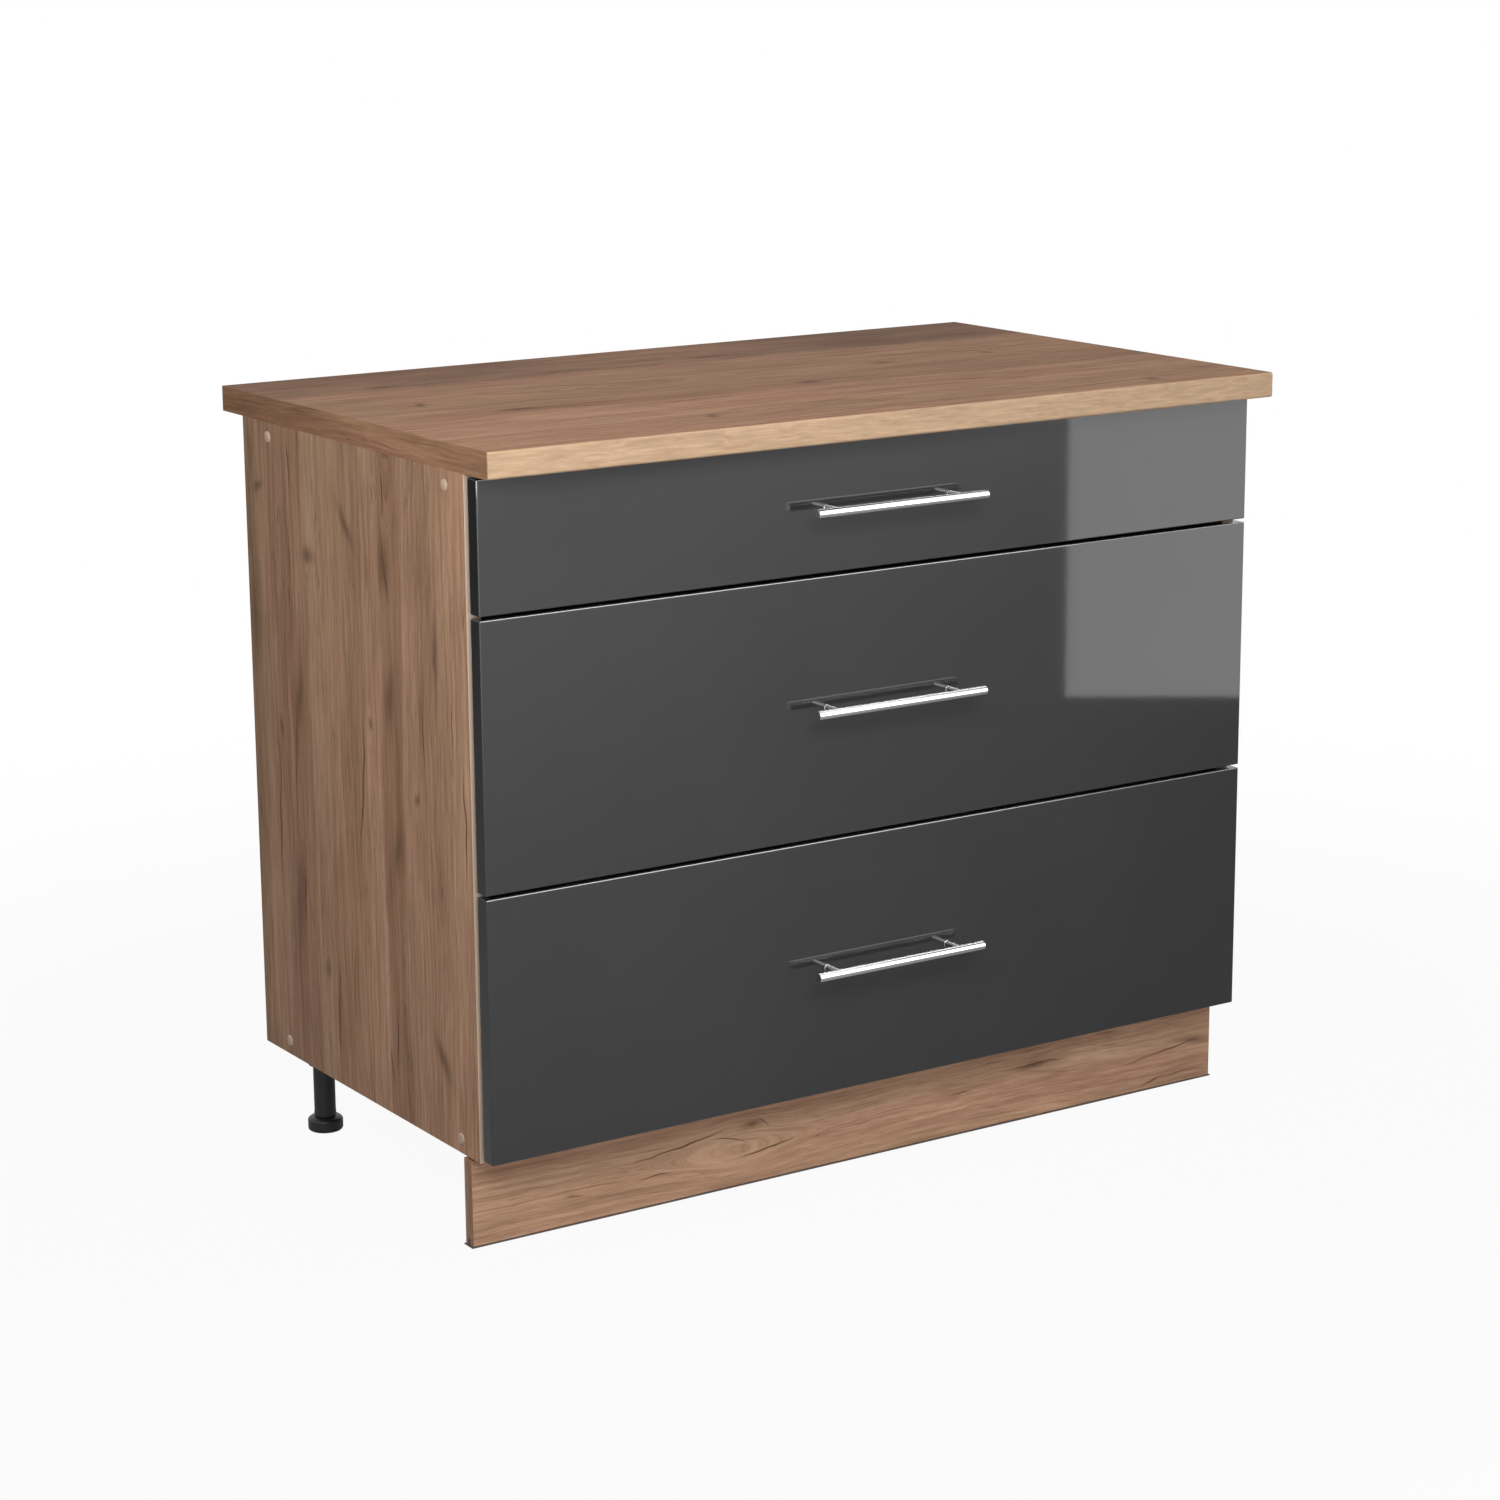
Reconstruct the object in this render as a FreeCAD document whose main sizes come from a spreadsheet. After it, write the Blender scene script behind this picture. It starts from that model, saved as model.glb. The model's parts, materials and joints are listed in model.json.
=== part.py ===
import FreeCAD, Part
import os
import Sketcher

# A kitchen base cabinet with three drawers, in millimetres.
# +Z is up, the fronts face -Y, and the origin is on the floor under the middle of the whole object.
# Pieces are drawn in the cabinet's own frame: x from the middle of the carcass, y from the face of
# the drawer fronts towards the wall, z from the floor. Placement then moves them to the origin.

doc = FreeCAD.newDocument("BaseCabinet")
Vector = FreeCAD.Vector

driving_dimensions = [
    # name, millimetres, what it is
    ("carcass_width", 1000, "outside width over the side panels"),
    ("carcass_height", 720, "height of the side panels"),
    ("leg_height", 100, "floor to the lower end of the side panels"),
    ("board", 16, "thickness of the carcass boards"),
    ("side_depth", 500, "depth of the side panels with their edge band"),
    ("panel_inset", 8, "how far bottom panel and rails sit in from the ends of the side panels"),
    ("rail_depth", 80, "depth of the two top rails"),
    ("band", 1, "thickness of the edge band"),
    ("back_thickness", 3, "thickness of the hardboard back"),
    ("back_inset", 18, "rear end of the side panels to the back of the hardboard"),
    ("groove_depth", 6, "depth of the groove that holds the back"),
    ("groove_play", 0.2, "how much wider the groove is than the back"),
    ("back_play", 0.5, "gap between the edge of the back and the end of its groove"),
    ("back_screw_spacing", 266, "distance between the screws along the back"),
    ("worktop_length", 1010, "length of the worktop, flush on the left"),
    ("worktop_depth", 600, "depth of the worktop"),
    ("worktop_thickness", 28, "thickness of the worktop"),
    ("worktop_overhang", 28, "how far the worktop stands in front of the drawer fronts"),
    ("worktop_edge", 3, "radius of the worktop's front edges"),
    ("front_thickness", 18, "thickness of the drawer fronts"),
    ("front_standoff", 4, "gap between drawer fronts and side panels"),
    ("front_reveal", 2, "how far the fronts stop short of the carcass at each side"),
    ("front_end_gap", 3, "gap below the bottom front and above the top front"),
    ("front_gap", 4, "gap between two fronts"),
    ("front_edge", 2, "radius of the fronts' edges"),
    ("low_front", 138, "height of the top drawer's front"),
    ("handle_length", 220, "length of a handle bar"),
    ("handle_radius", 5, "radius of a handle bar"),
    ("handle_standoff", 28, "face of the front to the axis of the handle bar"),
    ("handle_spacing", 160, "distance between the two posts"),
    ("post_radius", 4, "radius of a handle post"),
    ("post_seat", 3, "how deep a post sits in the bar"),
    ("bar_chamfer", 0.6, "chamfer at the ends of a handle bar"),
    ("sheet_metal", 1.2, "thickness of the steel profiles"),
    ("runner_length", 450, "length of a runner and of a drawer side"),
    ("runner_height", 25.8, "height of a runner"),
    ("runner_lip", 8, "how far the runner's top lip reaches out from the side panel"),
    ("runner_track", 9.4, "how far the runner's track reaches out from the side panel"),
    ("runner_setback", 2, "front end of the side panel to the front end of the runner"),
    ("runner_above_front", 24, "lower edge of a front to the underside of its runners"),
    ("runner_screw_front", 37, "front end of the side panel to a runner's first screw"),
    ("runner_screw_middle", 261, "front end of the side panel to a runner's second screw"),
    ("runner_screw_rear", 421, "front end of the side panel to a runner's third screw"),
    ("drawer_clearance", 10, "side panel to the outside of a drawer side"),
    ("drawer_lift", 3, "underside of the runner to the underside of the drawer side"),
    ("drawer_shelf", 19.8, "width of the flange that carries the drawer's bottom"),
    ("tab_gap", 4, "top of the drawer's bottom to the tab that holds the front"),
    ("tab_drop", 6, "top of a drawer side to the top of its tab"),
    ("side_screw_rise", 14, "top of the drawer's bottom to the lower screws of tab and back"),
    ("tab_screw_drop", 16, "top of a drawer side to the upper screw of its tab"),
    ("back_screw_drop", 22, "top of a drawer side to the upper screw of the back"),
    ("low_side", 84, "height of the top drawer's sides over the runner's underside"),
    ("deep_side", 140, "height of a deep drawer's sides over the runner's underside"),
    ("hem_width", 4, "width of the hem along the top of a drawer side"),
    ("hem_drop", 8, "height of that hem"),
    ("low_back", 84, "height of the top drawer's back over the runner's underside"),
    ("deep_back", 200, "height of a deep drawer's back over the runner's underside"),
    ("rail_height", 190, "height of a deep drawer's side rail over the runner's underside"),
    ("rail_radius", 5, "radius of a side rail"),
    ("rail_inset", 16, "side panel to the axis of a side rail"),
    ("socket_radius", 8, "radius of a rail socket"),
    ("socket_length", 12, "length of a rail socket"),
    ("socket_floor", 2, "thickness of a rail socket behind the rail's end"),
    ("roller_radius", 10.5, "radius of a roller"),
    ("roller_width", 6, "width of a roller"),
    ("roller_clearance", 0.3, "gap between a roller and its track"),
    ("roller_chamfer", 0.6, "chamfer of a roller's rim"),
    ("roller_side_gap", 0.6, "gap between a roller and the steel beside it"),
    ("roller_inset", 14, "end of a runner or a drawer side to its roller's axis"),
    ("axle_radius", 3, "radius of a roller's axle"),
    ("axle_fit", 0.08, "gap between an axle and its roller"),
    ("axle_head_radius", 4.5, "radius of an axle's head"),
    ("axle_head", 0.9, "thickness of an axle's head"),
    ("axle_end_gap", 0.2, "how far an axle's head stays inside the edge of the track"),
    ("drawer_travel", 340, "how far a drawer pulls out before its rollers meet the stop"),
    ("stop_height", 3, "height of the stop on the runner's track"),
    ("stop_reach", 3, "how far the stop's crest reaches under the front of the stopped roller"),
    ("stop_crest", 4, "length of the stop's crest"),
    ("stop_slope", 2, "length of each sloping end of the stop"),
    ("leg_side_inset", 45, "outside of a side panel to the axis of a leg"),
    ("leg_front_inset", 75, "front end of a side panel to the axis of a front leg"),
    ("leg_rear_inset", 52, "rear end of a side panel to the axis of a rear leg"),
    ("tube_radius", 12.5, "outer radius of a leg tube"),
    ("tube_bore", 9, "inner radius of a leg tube"),
    ("spigot_radius", 8.9, "radius of a foot's spigot"),
    ("spigot_length", 60, "length of a foot's spigot"),
    ("foot_radius", 20, "radius of a foot"),
    ("foot_height", 16, "height of a foot below the tube"),
    ("foot_gap", 0.3, "gap between a foot that is fully screwed in and its tube"),
    ("foot_edge", 0.8, "chamfer around the underside of a foot"),
    ("foot_shoulder", 3, "height of the foot's sloping shoulder"),
    ("foot_shoulder_width", 5, "width of that shoulder"),
    ("foot_notch_width", 4, "width of a notch in a foot's rim"),
    ("foot_notch_height", 3, "height of a notch in a foot's rim"),
    ("foot_notch_depth", 4, "depth of a notch in a foot's rim"),
    ("leg_flange_radius", 27, "radius of a leg socket's flange"),
    ("leg_flange", 5, "thickness of that flange"),
    ("leg_collar_radius", 17, "radius of a leg socket's collar"),
    ("leg_collar", 25, "length of that collar"),
    ("leg_screw_reach", 15.5, "axis of a leg to its flange's screws, along x and along y"),
    ("plinth_setback", 42, "face of the fronts to the face of the plinth"),
    ("plinth_gap", 3, "gap between the plinth and the side panels above it"),
    ("seal_thickness", 1.5, "thickness of the plinth's seal"),
    ("seal_lift", 0.5, "floor to the underside of the seal"),
    ("seal_overlap", 1.5, "how far the seal stands past the plinth's ends"),
    ("seal_side", 1, "how far the seal stands past the plinth's faces"),
    ("seal_rib", 2, "thickness of the seal's rib in the plinth's groove"),
    ("seal_rib_height", 7, "height of that rib"),
    ("clip_height", 18, "height of a plinth clip"),
    ("clip_wall", 3, "wall of a plinth clip's ring"),
    ("clip_plate", 40, "width of a plinth clip's plate"),
    ("clip_stem", 10, "width of the stem between that plate and the ring"),
    ("clip_drop", 45, "top of the plinth to the underside of its clips"),
    ("carcass_screw_radius", 3.5, "radius of a carcass screw"),
    ("carcass_screw_length", 50, "length of a carcass screw"),
    ("carcass_head_radius", 5, "radius of a carcass screw's head"),
    ("carcass_head", 4, "height of a carcass screw's head"),
    ("hex_radius", 2.3, "radius of the socket in that head"),
    ("hex_depth", 5, "depth of that socket"),
    ("cap_radius", 6.5, "radius of a screw cap"),
    ("cap_proud", 2, "how far a screw cap stands out of the side panel"),
    ("cap_shoulder_radius", 5.8, "radius of a screw cap at its shoulder"),
    ("cap_shoulder", 1.2, "height of that shoulder"),
    ("cap_flat_radius", 4, "radius of the flat on a screw cap's top"),
    ("cap_pin", 4, "length of a screw cap's pin"),
    ("front_screw_inset", 40, "front end of a side panel to its front carcass screws"),
    ("rear_screw_inset", 61, "rear end of a side panel to its rear carcass screws"),
    ("screw_radius", 1.75, "radius of a small chipboard screw"),
    ("screw_head_radius", 3.5, "radius of its head"),
    ("screw_head", 1.8, "height of its head"),
    ("screw_length", 13, "length of its shank"),
    ("handle_screw_radius", 2, "radius of a handle screw"),
    ("handle_screw_reach", 10, "how deep a handle screw goes into its post"),
    ("handle_screw_play", 0.5, "how much deeper than the screw that hole is"),
    ("handle_screw_head_radius", 4.5, "radius of a handle screw's head"),
    ("handle_screw_head", 2.4, "height of a handle screw's head"),
    ("fastener_gap", 0.05, "gap between a fastener and its hole"),
    ("bracket_leg", 25, "length of a worktop bracket's legs"),
    ("bracket_screw", 15, "corner of a worktop bracket to its screws"),
    ("bracket_front", 128, "front end of a side panel to the front bracket's middle"),
    ("bracket_rear", 352, "front end of a side panel to the rear bracket's middle"),
    ("bracket_width", 20, "width of a worktop bracket"),
    ("bracket_sheet", 2, "thickness of a worktop bracket"),
]

sheet = doc.addObject("Spreadsheet::Sheet", "Sizes")
for row, (alias, millimetres, meaning) in enumerate(driving_dimensions, start=1):
    sheet.set(f"A{row}", meaning)
    sheet.set(f"B{row}", str(millimetres))
    sheet.setAlias(f"B{row}", alias)
doc.recompute()

foot_notches = 8
shelf_screw_shares = (0.15, 0.5, 0.85)  # of the drawer's length
tool_margin = 1  # how far a cutting outline reaches past what it cuts
tolerance = 0.01  # for comparing lengths and volumes


class Size:
    """A length with both its value and its formula over the sheet's cells."""

    def __init__(self, value, text):
        self.value = value
        self.text = text

    def __add__(self, other):
        other = as_size(other)
        return Size(self.value + other.value, f"({self.text} + {other.text})")

    def __sub__(self, other):
        other = as_size(other)
        return Size(self.value - other.value, f"({self.text} - {other.text})")

    def __mul__(self, other):
        other = as_size(other)
        return Size(self.value * other.value, f"({self.text} * {other.text})")

    def __truediv__(self, number):
        return Size(self.value / number, f"({self.text} / {number})")

    def __radd__(self, other):
        return as_size(other) + self

    def __rsub__(self, other):
        return as_size(other) - self

    def __rmul__(self, other):
        return as_size(other) * self

    def __neg__(self):
        return Size(-self.value, f"(0 - {self.text})")


def as_size(thing):
    return thing if isinstance(thing, Size) else Size(float(thing), f"({float(thing)})")


def cell(alias):
    return Size(float(sheet.get(alias)), f"Sizes.{alias}")


def bind(thing, prop, size):
    thing.setExpression(prop, as_size(size).text)


# ---- places that several pieces share, in the cabinet's frame

board = cell("board")
band = cell("band")
sheet_metal = cell("sheet_metal")
fastener_gap = cell("fastener_gap")
half_width = cell("carcass_width") / 2
inner_half = half_width - board
carcass_bottom = cell("leg_height")
carcass_top = carcass_bottom + cell("carcass_height")
side_front = cell("front_thickness") + cell("front_standoff")
side_back = side_front + cell("side_depth")
panel_bottom = carcass_bottom + cell("panel_inset")
panel_top = panel_bottom + board
rail_top = carcass_top - cell("panel_inset")
rail_bottom = rail_top - board
back_front = side_back - cell("back_inset") - cell("back_thickness")
worktop_front = -cell("worktop_overhang")
worktop_back = worktop_front + cell("worktop_depth")

# where the cabinet's frame lies in the part's frame, whose origin is under the middle of everything
centre_x = (cell("carcass_width") + cell("cap_proud") - cell("worktop_length")) / 2
handle_front = -cell("handle_standoff") - cell("handle_radius")
face_y = -(worktop_back + handle_front) / 2

# heights of the three fronts: the two deep ones share what the low one and the gaps leave
front_stack = cell("carcass_height") - 2 * cell("front_end_gap") - 2 * cell("front_gap")
deep_front = (front_stack - cell("low_front")) / 2
bottom_front_z = carcass_bottom + cell("front_end_gap")
middle_front_z = bottom_front_z + deep_front + cell("front_gap")
top_front_z = middle_front_z + deep_front + cell("front_gap")

drawers = {
    "top_drawer": {"front_z": top_front_z, "front": cell("low_front"), "side": cell("low_side"),
                   "back": cell("low_back"), "deep": False},
    "middle_drawer": {"front_z": middle_front_z, "front": deep_front, "side": cell("deep_side"),
                      "back": cell("deep_back"), "deep": True},
    "bottom_drawer": {"front_z": bottom_front_z, "front": deep_front, "side": cell("deep_side"),
                      "back": cell("deep_back"), "deep": True},
}
for drawer in drawers.values():
    drawer["base"] = drawer["front_z"] + cell("runner_above_front")

runner_front = side_front + cell("runner_setback")
runner_back = runner_front + cell("runner_length")
drawer_front = cell("front_thickness")
drawer_back = drawer_front + cell("runner_length")
roller_height = sheet_metal + cell("roller_clearance") + cell("roller_radius")
runner_roller_y = runner_front + cell("roller_inset")
drawer_roller_y = drawer_back - cell("roller_inset")
wall_outside = inner_half - cell("drawer_clearance")
wall_inside = wall_outside - sheet_metal
drawer_floor = cell("drawer_lift") + sheet_metal
drawer_floor_top = drawer_floor + board
post_x = cell("handle_spacing") / 2
leg_x = half_width - cell("leg_side_inset")
front_leg_y = side_front + cell("leg_front_inset")
rear_leg_y = side_back - cell("leg_rear_inset")
leg_places = {"front_left": (-leg_x, front_leg_y), "front_right": (leg_x, front_leg_y),
              "rear_left": (-leg_x, rear_leg_y), "rear_right": (leg_x, rear_leg_y)}
plinth_front = cell("plinth_setback")
plinth_back = plinth_front + board
plinth_bottom = cell("seal_lift") + cell("seal_thickness")
carcass_screw_places = [(side_front + cell("front_screw_inset"), panel_bottom + board / 2),
                        (side_back - cell("rear_screw_inset"), panel_bottom + board / 2),
                        (side_front + cell("front_screw_inset"), rail_bottom + board / 2),
                        (side_back - cell("rear_screw_inset"), rail_bottom + board / 2)]
runner_screw_ys = [side_front + cell(f"runner_screw_{place}") for place in ("front", "middle", "rear")]
bracket_ys = [side_front + cell("bracket_front"), side_front + cell("bracket_rear")]
back_screw_xs = [steps * cell("back_screw_spacing") for steps in (-1.5, -0.5, 0.5, 1.5)]
leg_screw_reach = cell("leg_screw_reach")
bracket_screw_z = carcass_top - cell("bracket_screw")
bracket_screw_x = inner_half - cell("bracket_screw")

# which way a sketch's own axes run on each origin plane: its normal is +Z, -Y or +X
plane_roles = {"XY": "XY_Plane", "XZ": "XZ_Plane", "YZ": "YZ_Plane"}
nodes = []


# ---- drawing helpers

def new_body(name):
    return doc.addObject("PartDesign::Body", name)


def new_sketch(body, plane, start):
    """An empty sketch of the body, parallel to an origin plane and `start` away from it."""
    sketch = body.newObject("Sketcher::SketchObject", f"{body.Name}_sketch")
    origin_plane = [item for item in body.Origin.OriginFeatures if item.Role == plane_roles[plane]][0]
    sketch.AttachmentSupport = [(origin_plane, "")]
    sketch.MapMode = "FlatFace"
    bind(sketch, "AttachmentOffset.Base.z", -start if plane == "XZ" else start)
    return sketch


def pin_point(sketch, geometry, point, across, up):
    """Fix a point of the sketch at two distances from the sketch's origin."""
    for kind, size in (("DistanceX", across), ("DistanceY", up)):
        size = as_size(size)
        number = sketch.addConstraint(Sketcher.Constraint(kind, -1, 1, geometry, point, size.value))
        bind(sketch, f"Constraints[{number}]", size)


def draw_outline(sketch, points):
    corners = [Vector(as_size(across).value, as_size(up).value, 0) for across, up in points]
    first = sketch.GeometryCount
    for number, corner in enumerate(corners):
        sketch.addGeometry(Part.LineSegment(corner, corners[(number + 1) % len(corners)]), False)
    for number in range(len(corners)):
        following = first + (number + 1) % len(corners)
        sketch.addConstraint(Sketcher.Constraint("Coincident", first + number, 2, following, 1))
    for number, (across, up) in enumerate(points):
        pin_point(sketch, first + number, 1, across, up)


def draw_circle(sketch, across, up, radius):
    centre = Vector(as_size(across).value, as_size(up).value, 0)
    number = sketch.addGeometry(Part.Circle(centre, Vector(0, 0, 1), as_size(radius).value), False)
    constraint = sketch.addConstraint(Sketcher.Constraint("Radius", number, as_size(radius).value))
    bind(sketch, f"Constraints[{constraint}]", radius)
    pin_point(sketch, number, 3, across, up)


def rectangle(left, low, right, high):
    return [(left, low), (right, low), (right, high), (left, high)]


def pad_outline(body, plane, start, length, points):
    """Add an outline, pushed out from `start` in the axis's positive direction."""
    sketch = new_sketch(body, plane, start)
    draw_outline(sketch, points)
    return finish_pad(body, plane, sketch, length)


def finish_pad(body, plane, sketch, length):
    pad = body.newObject("PartDesign::Pad", f"{body.Name}_pad")
    pad.Profile = sketch
    pad.Reversed = plane == "XZ"
    bind(pad, "Length", length)
    doc.recompute()
    return pad


def cut(body, plane, sketch, depth, toward):
    """Pocket a sketch towards the axis's positive (1) or negative (-1) direction."""
    before = body.Shape.Volume
    pocket = body.newObject("PartDesign::Pocket", f"{body.Name}_pocket")
    pocket.Profile = sketch
    pocket.Reversed = (toward > 0) != (plane == "XZ")
    bind(pocket, "Length", depth)
    doc.recompute()
    if body.Shape.Volume > before - tolerance:
        raise RuntimeError(f"a pocket of {body.Label} cuts nothing")


def drill(body, plane, start, depth, toward, centres, radius):
    sketch = new_sketch(body, plane, start)
    for across, up in centres:
        draw_circle(sketch, across, up, radius)
    cut(body, plane, sketch, depth, toward)


def cut_outline(body, plane, start, depth, toward, points):
    sketch = new_sketch(body, plane, start)
    draw_outline(sketch, points)
    cut(body, plane, sketch, depth, toward)


def soften(body, feature, kind, prop, size, wanted):
    """Fillet or chamfer the edges of a feature whose middle passes the test."""
    names = []
    for number, edge in enumerate(feature.Shape.Edges, start=1):
        middle = edge.valueAt((edge.FirstParameter + edge.LastParameter) / 2)
        if wanted(middle):
            names.append(f"Edge{number}")
    rounded = body.newObject(f"PartDesign::{kind}", f"{body.Name}_{kind.lower()}")
    rounded.Base = (feature, names)
    bind(rounded, prop, size)
    doc.recompute()


def turned(name, points):
    """A body turned about its own Z axis from a half profile of radius and height."""
    body = new_body(name)
    sketch = new_sketch(body, "XZ", as_size(0))
    draw_outline(sketch, points)
    revolution = body.newObject("PartDesign::Revolution", f"{name}_revolution")
    revolution.Profile = sketch
    revolution.ReferenceAxis = (sketch, ["V_Axis"])
    revolution.Angle = 360
    doc.recompute()
    return body


def into_place(thing, across=0, back=0, up=0, direction=None):
    """Move a thing from the cabinet's frame to the part's frame, its own Z turned to a direction."""
    if direction is not None:
        thing.Placement = FreeCAD.Placement(Vector(0, 0, 0), FreeCAD.Rotation(Vector(0, 0, 1), direction))
    bind(thing, "Placement.Base.x", centre_x + across)
    bind(thing, "Placement.Base.y", face_y + back)
    bind(thing, "Placement.Base.z", as_size(up))


def keep(label, thing):
    """Make a thing a sub-part of the object, under the name that its file gets."""
    thing.Label = label
    nodes.append((label, thing))
    return thing


def keep_body(label, body):
    into_place(body)
    return keep(label, body)


def mirrored(source):
    """The same piece on the other side of the carcass."""
    twin = doc.addObject("Part::Mirroring", f"{source.Name}_twin")
    twin.Source = source
    twin.Normal = Vector(1, 0, 0)
    bind(twin, "Base.x", centre_x)
    return twin


def keep_group(label, members):
    group = doc.addObject("Part::Compound", label)
    group.Links = members
    return keep(label, group)


def copies(template, places):
    """Links to a turned piece, one at each place with the direction of its axis."""
    links = []
    for number, (across, back, up, direction) in enumerate(places):
        link = doc.addObject("App::Link", f"{template.Name}_{number}")
        link.LinkedObject = template
        link.LinkTransform = False
        into_place(link, across, back, up, direction)
        links.append(link)
    return links


right, left = Vector(1, 0, 0), Vector(-1, 0, 0)
back, front = Vector(0, 1, 0), Vector(0, -1, 0)
upward = Vector(0, 0, 1)
inward_at = {-1: right, 1: left}
outward_at = {-1: left, 1: right}


# ---- templates of the small turned pieces, each with its axis along its own Z

def screw_template(name, radius, length, head_radius, head):
    """Head below z 0, shank above it."""
    return turned(name, [(0, -head), (head_radius, -head), (head_radius, 0), (radius, 0),
                         (radius, length), (0, length)])


small_screw = screw_template("small_screw", cell("screw_radius"), cell("screw_length"),
                             cell("screw_head_radius"), cell("screw_head"))
flush_screw = screw_template("flush_screw", cell("screw_radius"), cell("screw_length"),
                             cell("screw_head_radius"), sheet_metal)
handle_screw = screw_template("handle_screw", cell("handle_screw_radius"),
                              cell("front_thickness") + cell("handle_screw_reach"),
                              cell("handle_screw_head_radius"), cell("handle_screw_head"))
carcass_screw = turned("carcass_screw", [
    (cell("hex_radius"), 0), (cell("carcass_head_radius"), 0),
    (cell("carcass_head_radius"), cell("carcass_head")),
    (cell("carcass_screw_radius"), cell("carcass_head")),
    (cell("carcass_screw_radius"), cell("carcass_screw_length")),
    (0, cell("carcass_screw_length")), (0, cell("hex_depth")), (cell("hex_radius"), cell("hex_depth"))])
screw_cap = turned("screw_cap", [
    (0, -cell("cap_proud")), (cell("cap_flat_radius"), -cell("cap_proud")),
    (cell("cap_shoulder_radius"), -cell("cap_shoulder")), (cell("cap_radius"), 0),
    (cell("hex_radius") - fastener_gap, 0), (cell("hex_radius") - fastener_gap, cell("cap_pin")),
    (0, cell("cap_pin"))])
roller = turned("roller", [
    (cell("axle_radius") + cell("axle_fit"), 0), (cell("roller_radius") - cell("roller_chamfer"), 0),
    (cell("roller_radius"), cell("roller_chamfer")),
    (cell("roller_radius"), cell("roller_width") - cell("roller_chamfer")),
    (cell("roller_radius") - cell("roller_chamfer"), cell("roller_width")),
    (cell("axle_radius") + cell("axle_fit"), cell("roller_width"))])


def axle_template(name, length):
    """A stud that starts at z 0 and ends in a flat head."""
    neck = length - cell("axle_head")
    return turned(name, [(0, 0), (cell("axle_radius"), 0), (cell("axle_radius"), neck),
                         (cell("axle_head_radius"), neck), (cell("axle_head_radius"), length), (0, length)])


# ---- carcass

def make_side_panel():
    """The left side panel, with its groove and holes; the right one is its mirror image."""
    body = new_body("side_panel")
    pad_outline(body, "YZ", -half_width, board,
                rectangle(side_front + band, carcass_bottom, side_back, carcass_top))
    cut_outline(body, "YZ", -inner_half, cell("groove_depth"), -1,
                rectangle(back_front, carcass_bottom,
                          back_front + cell("back_thickness") + cell("groove_play"), carcass_top))
    drill(body, "YZ", -half_width, board, 1, carcass_screw_places,
          cell("carcass_screw_radius") + fastener_gap)
    drill(body, "YZ", -half_width, cell("carcass_head"), 1, carcass_screw_places,
          cell("carcass_head_radius") + fastener_gap)
    pilots = [(y, drawer["base"] + roller_height) for drawer in drawers.values() for y in runner_screw_ys]
    pilots += [(y, bracket_screw_z) for y in bracket_ys]
    drill(body, "YZ", -inner_half, cell("screw_length"), -1, pilots, cell("screw_radius") + fastener_gap)
    return body


def drill_both_ends(body, places):
    """The holes for the carcass screws in the two ends of a board between the side panels."""
    depth = cell("carcass_screw_length") - board
    radius = cell("carcass_screw_radius") + fastener_gap
    drill(body, "YZ", -inner_half, depth, 1, places, radius)
    drill(body, "YZ", inner_half, depth, -1, places, radius)


side_panel = keep_body("side_panel_left", make_side_panel())
keep("side_panel_right", mirrored(side_panel))

bottom_panel = new_body("bottom_panel")
pad_outline(bottom_panel, "XY", panel_bottom, board,
            rectangle(-inner_half, side_front + band, inner_half, back_front))
drill_both_ends(bottom_panel, carcass_screw_places[:2])
leg_screw_places = [(x + sign_x * leg_screw_reach, y + sign_y * leg_screw_reach)
                    for x, y in leg_places.values() for sign_x in (-1, 1) for sign_y in (-1, 1)]
drill(bottom_panel, "XY", panel_bottom, cell("screw_length") - cell("leg_flange"), 1, leg_screw_places,
      cell("screw_radius") + fastener_gap)
drill(bottom_panel, "XZ", back_front, cell("screw_length") - cell("back_thickness"), -1,
      [(x, panel_bottom + board / 2) for x in back_screw_xs], cell("screw_radius") + fastener_gap)
keep_body("bottom_panel", bottom_panel)

front_rail = new_body("front_rail")
pad_outline(front_rail, "XY", rail_bottom, board,
            rectangle(-inner_half, side_front + band, inner_half, side_front + cell("rail_depth")))
drill_both_ends(front_rail, carcass_screw_places[2:3])
keep_body("front_rail", front_rail)

rear_rail = new_body("rear_rail")
pad_outline(rear_rail, "XY", rail_bottom, board,
            rectangle(-inner_half, back_front - cell("rail_depth"), inner_half, back_front))
drill_both_ends(rear_rail, carcass_screw_places[3:])
drill(rear_rail, "XZ", back_front, cell("screw_length") - cell("back_thickness"), -1,
      [(x, rail_bottom + board / 2) for x in back_screw_xs], cell("screw_radius") + fastener_gap)
keep_body("rear_rail", rear_rail)

back_half = inner_half + cell("groove_depth") - cell("back_play")
back_panel = new_body("back_panel")
pad_outline(back_panel, "XZ", back_front, cell("back_thickness"),
            rectangle(-back_half, panel_bottom, back_half, rail_top))
drill(back_panel, "XZ", back_front, cell("back_thickness"), 1,
      [(x, z + board / 2) for x in back_screw_xs for z in (panel_bottom, rail_bottom)],
      cell("screw_radius") + fastener_gap)
keep_body("back_panel", back_panel)

# edge band on the front edges of the side panels, the bottom panel and the front rail
strips = {"left": rectangle(-half_width, carcass_bottom, -inner_half, carcass_top),
          "right": rectangle(inner_half, carcass_bottom, half_width, carcass_top),
          "bottom": rectangle(-inner_half, panel_bottom, inner_half, panel_top),
          "rail": rectangle(-inner_half, rail_bottom, inner_half, rail_top)}
bands = []
for place, strip in strips.items():
    strip_body = new_body(f"band_{place}")
    pad_outline(strip_body, "XZ", side_front, band, strip)
    into_place(strip_body)
    bands.append(strip_body)
keep_group("edge_bands", bands)

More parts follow.
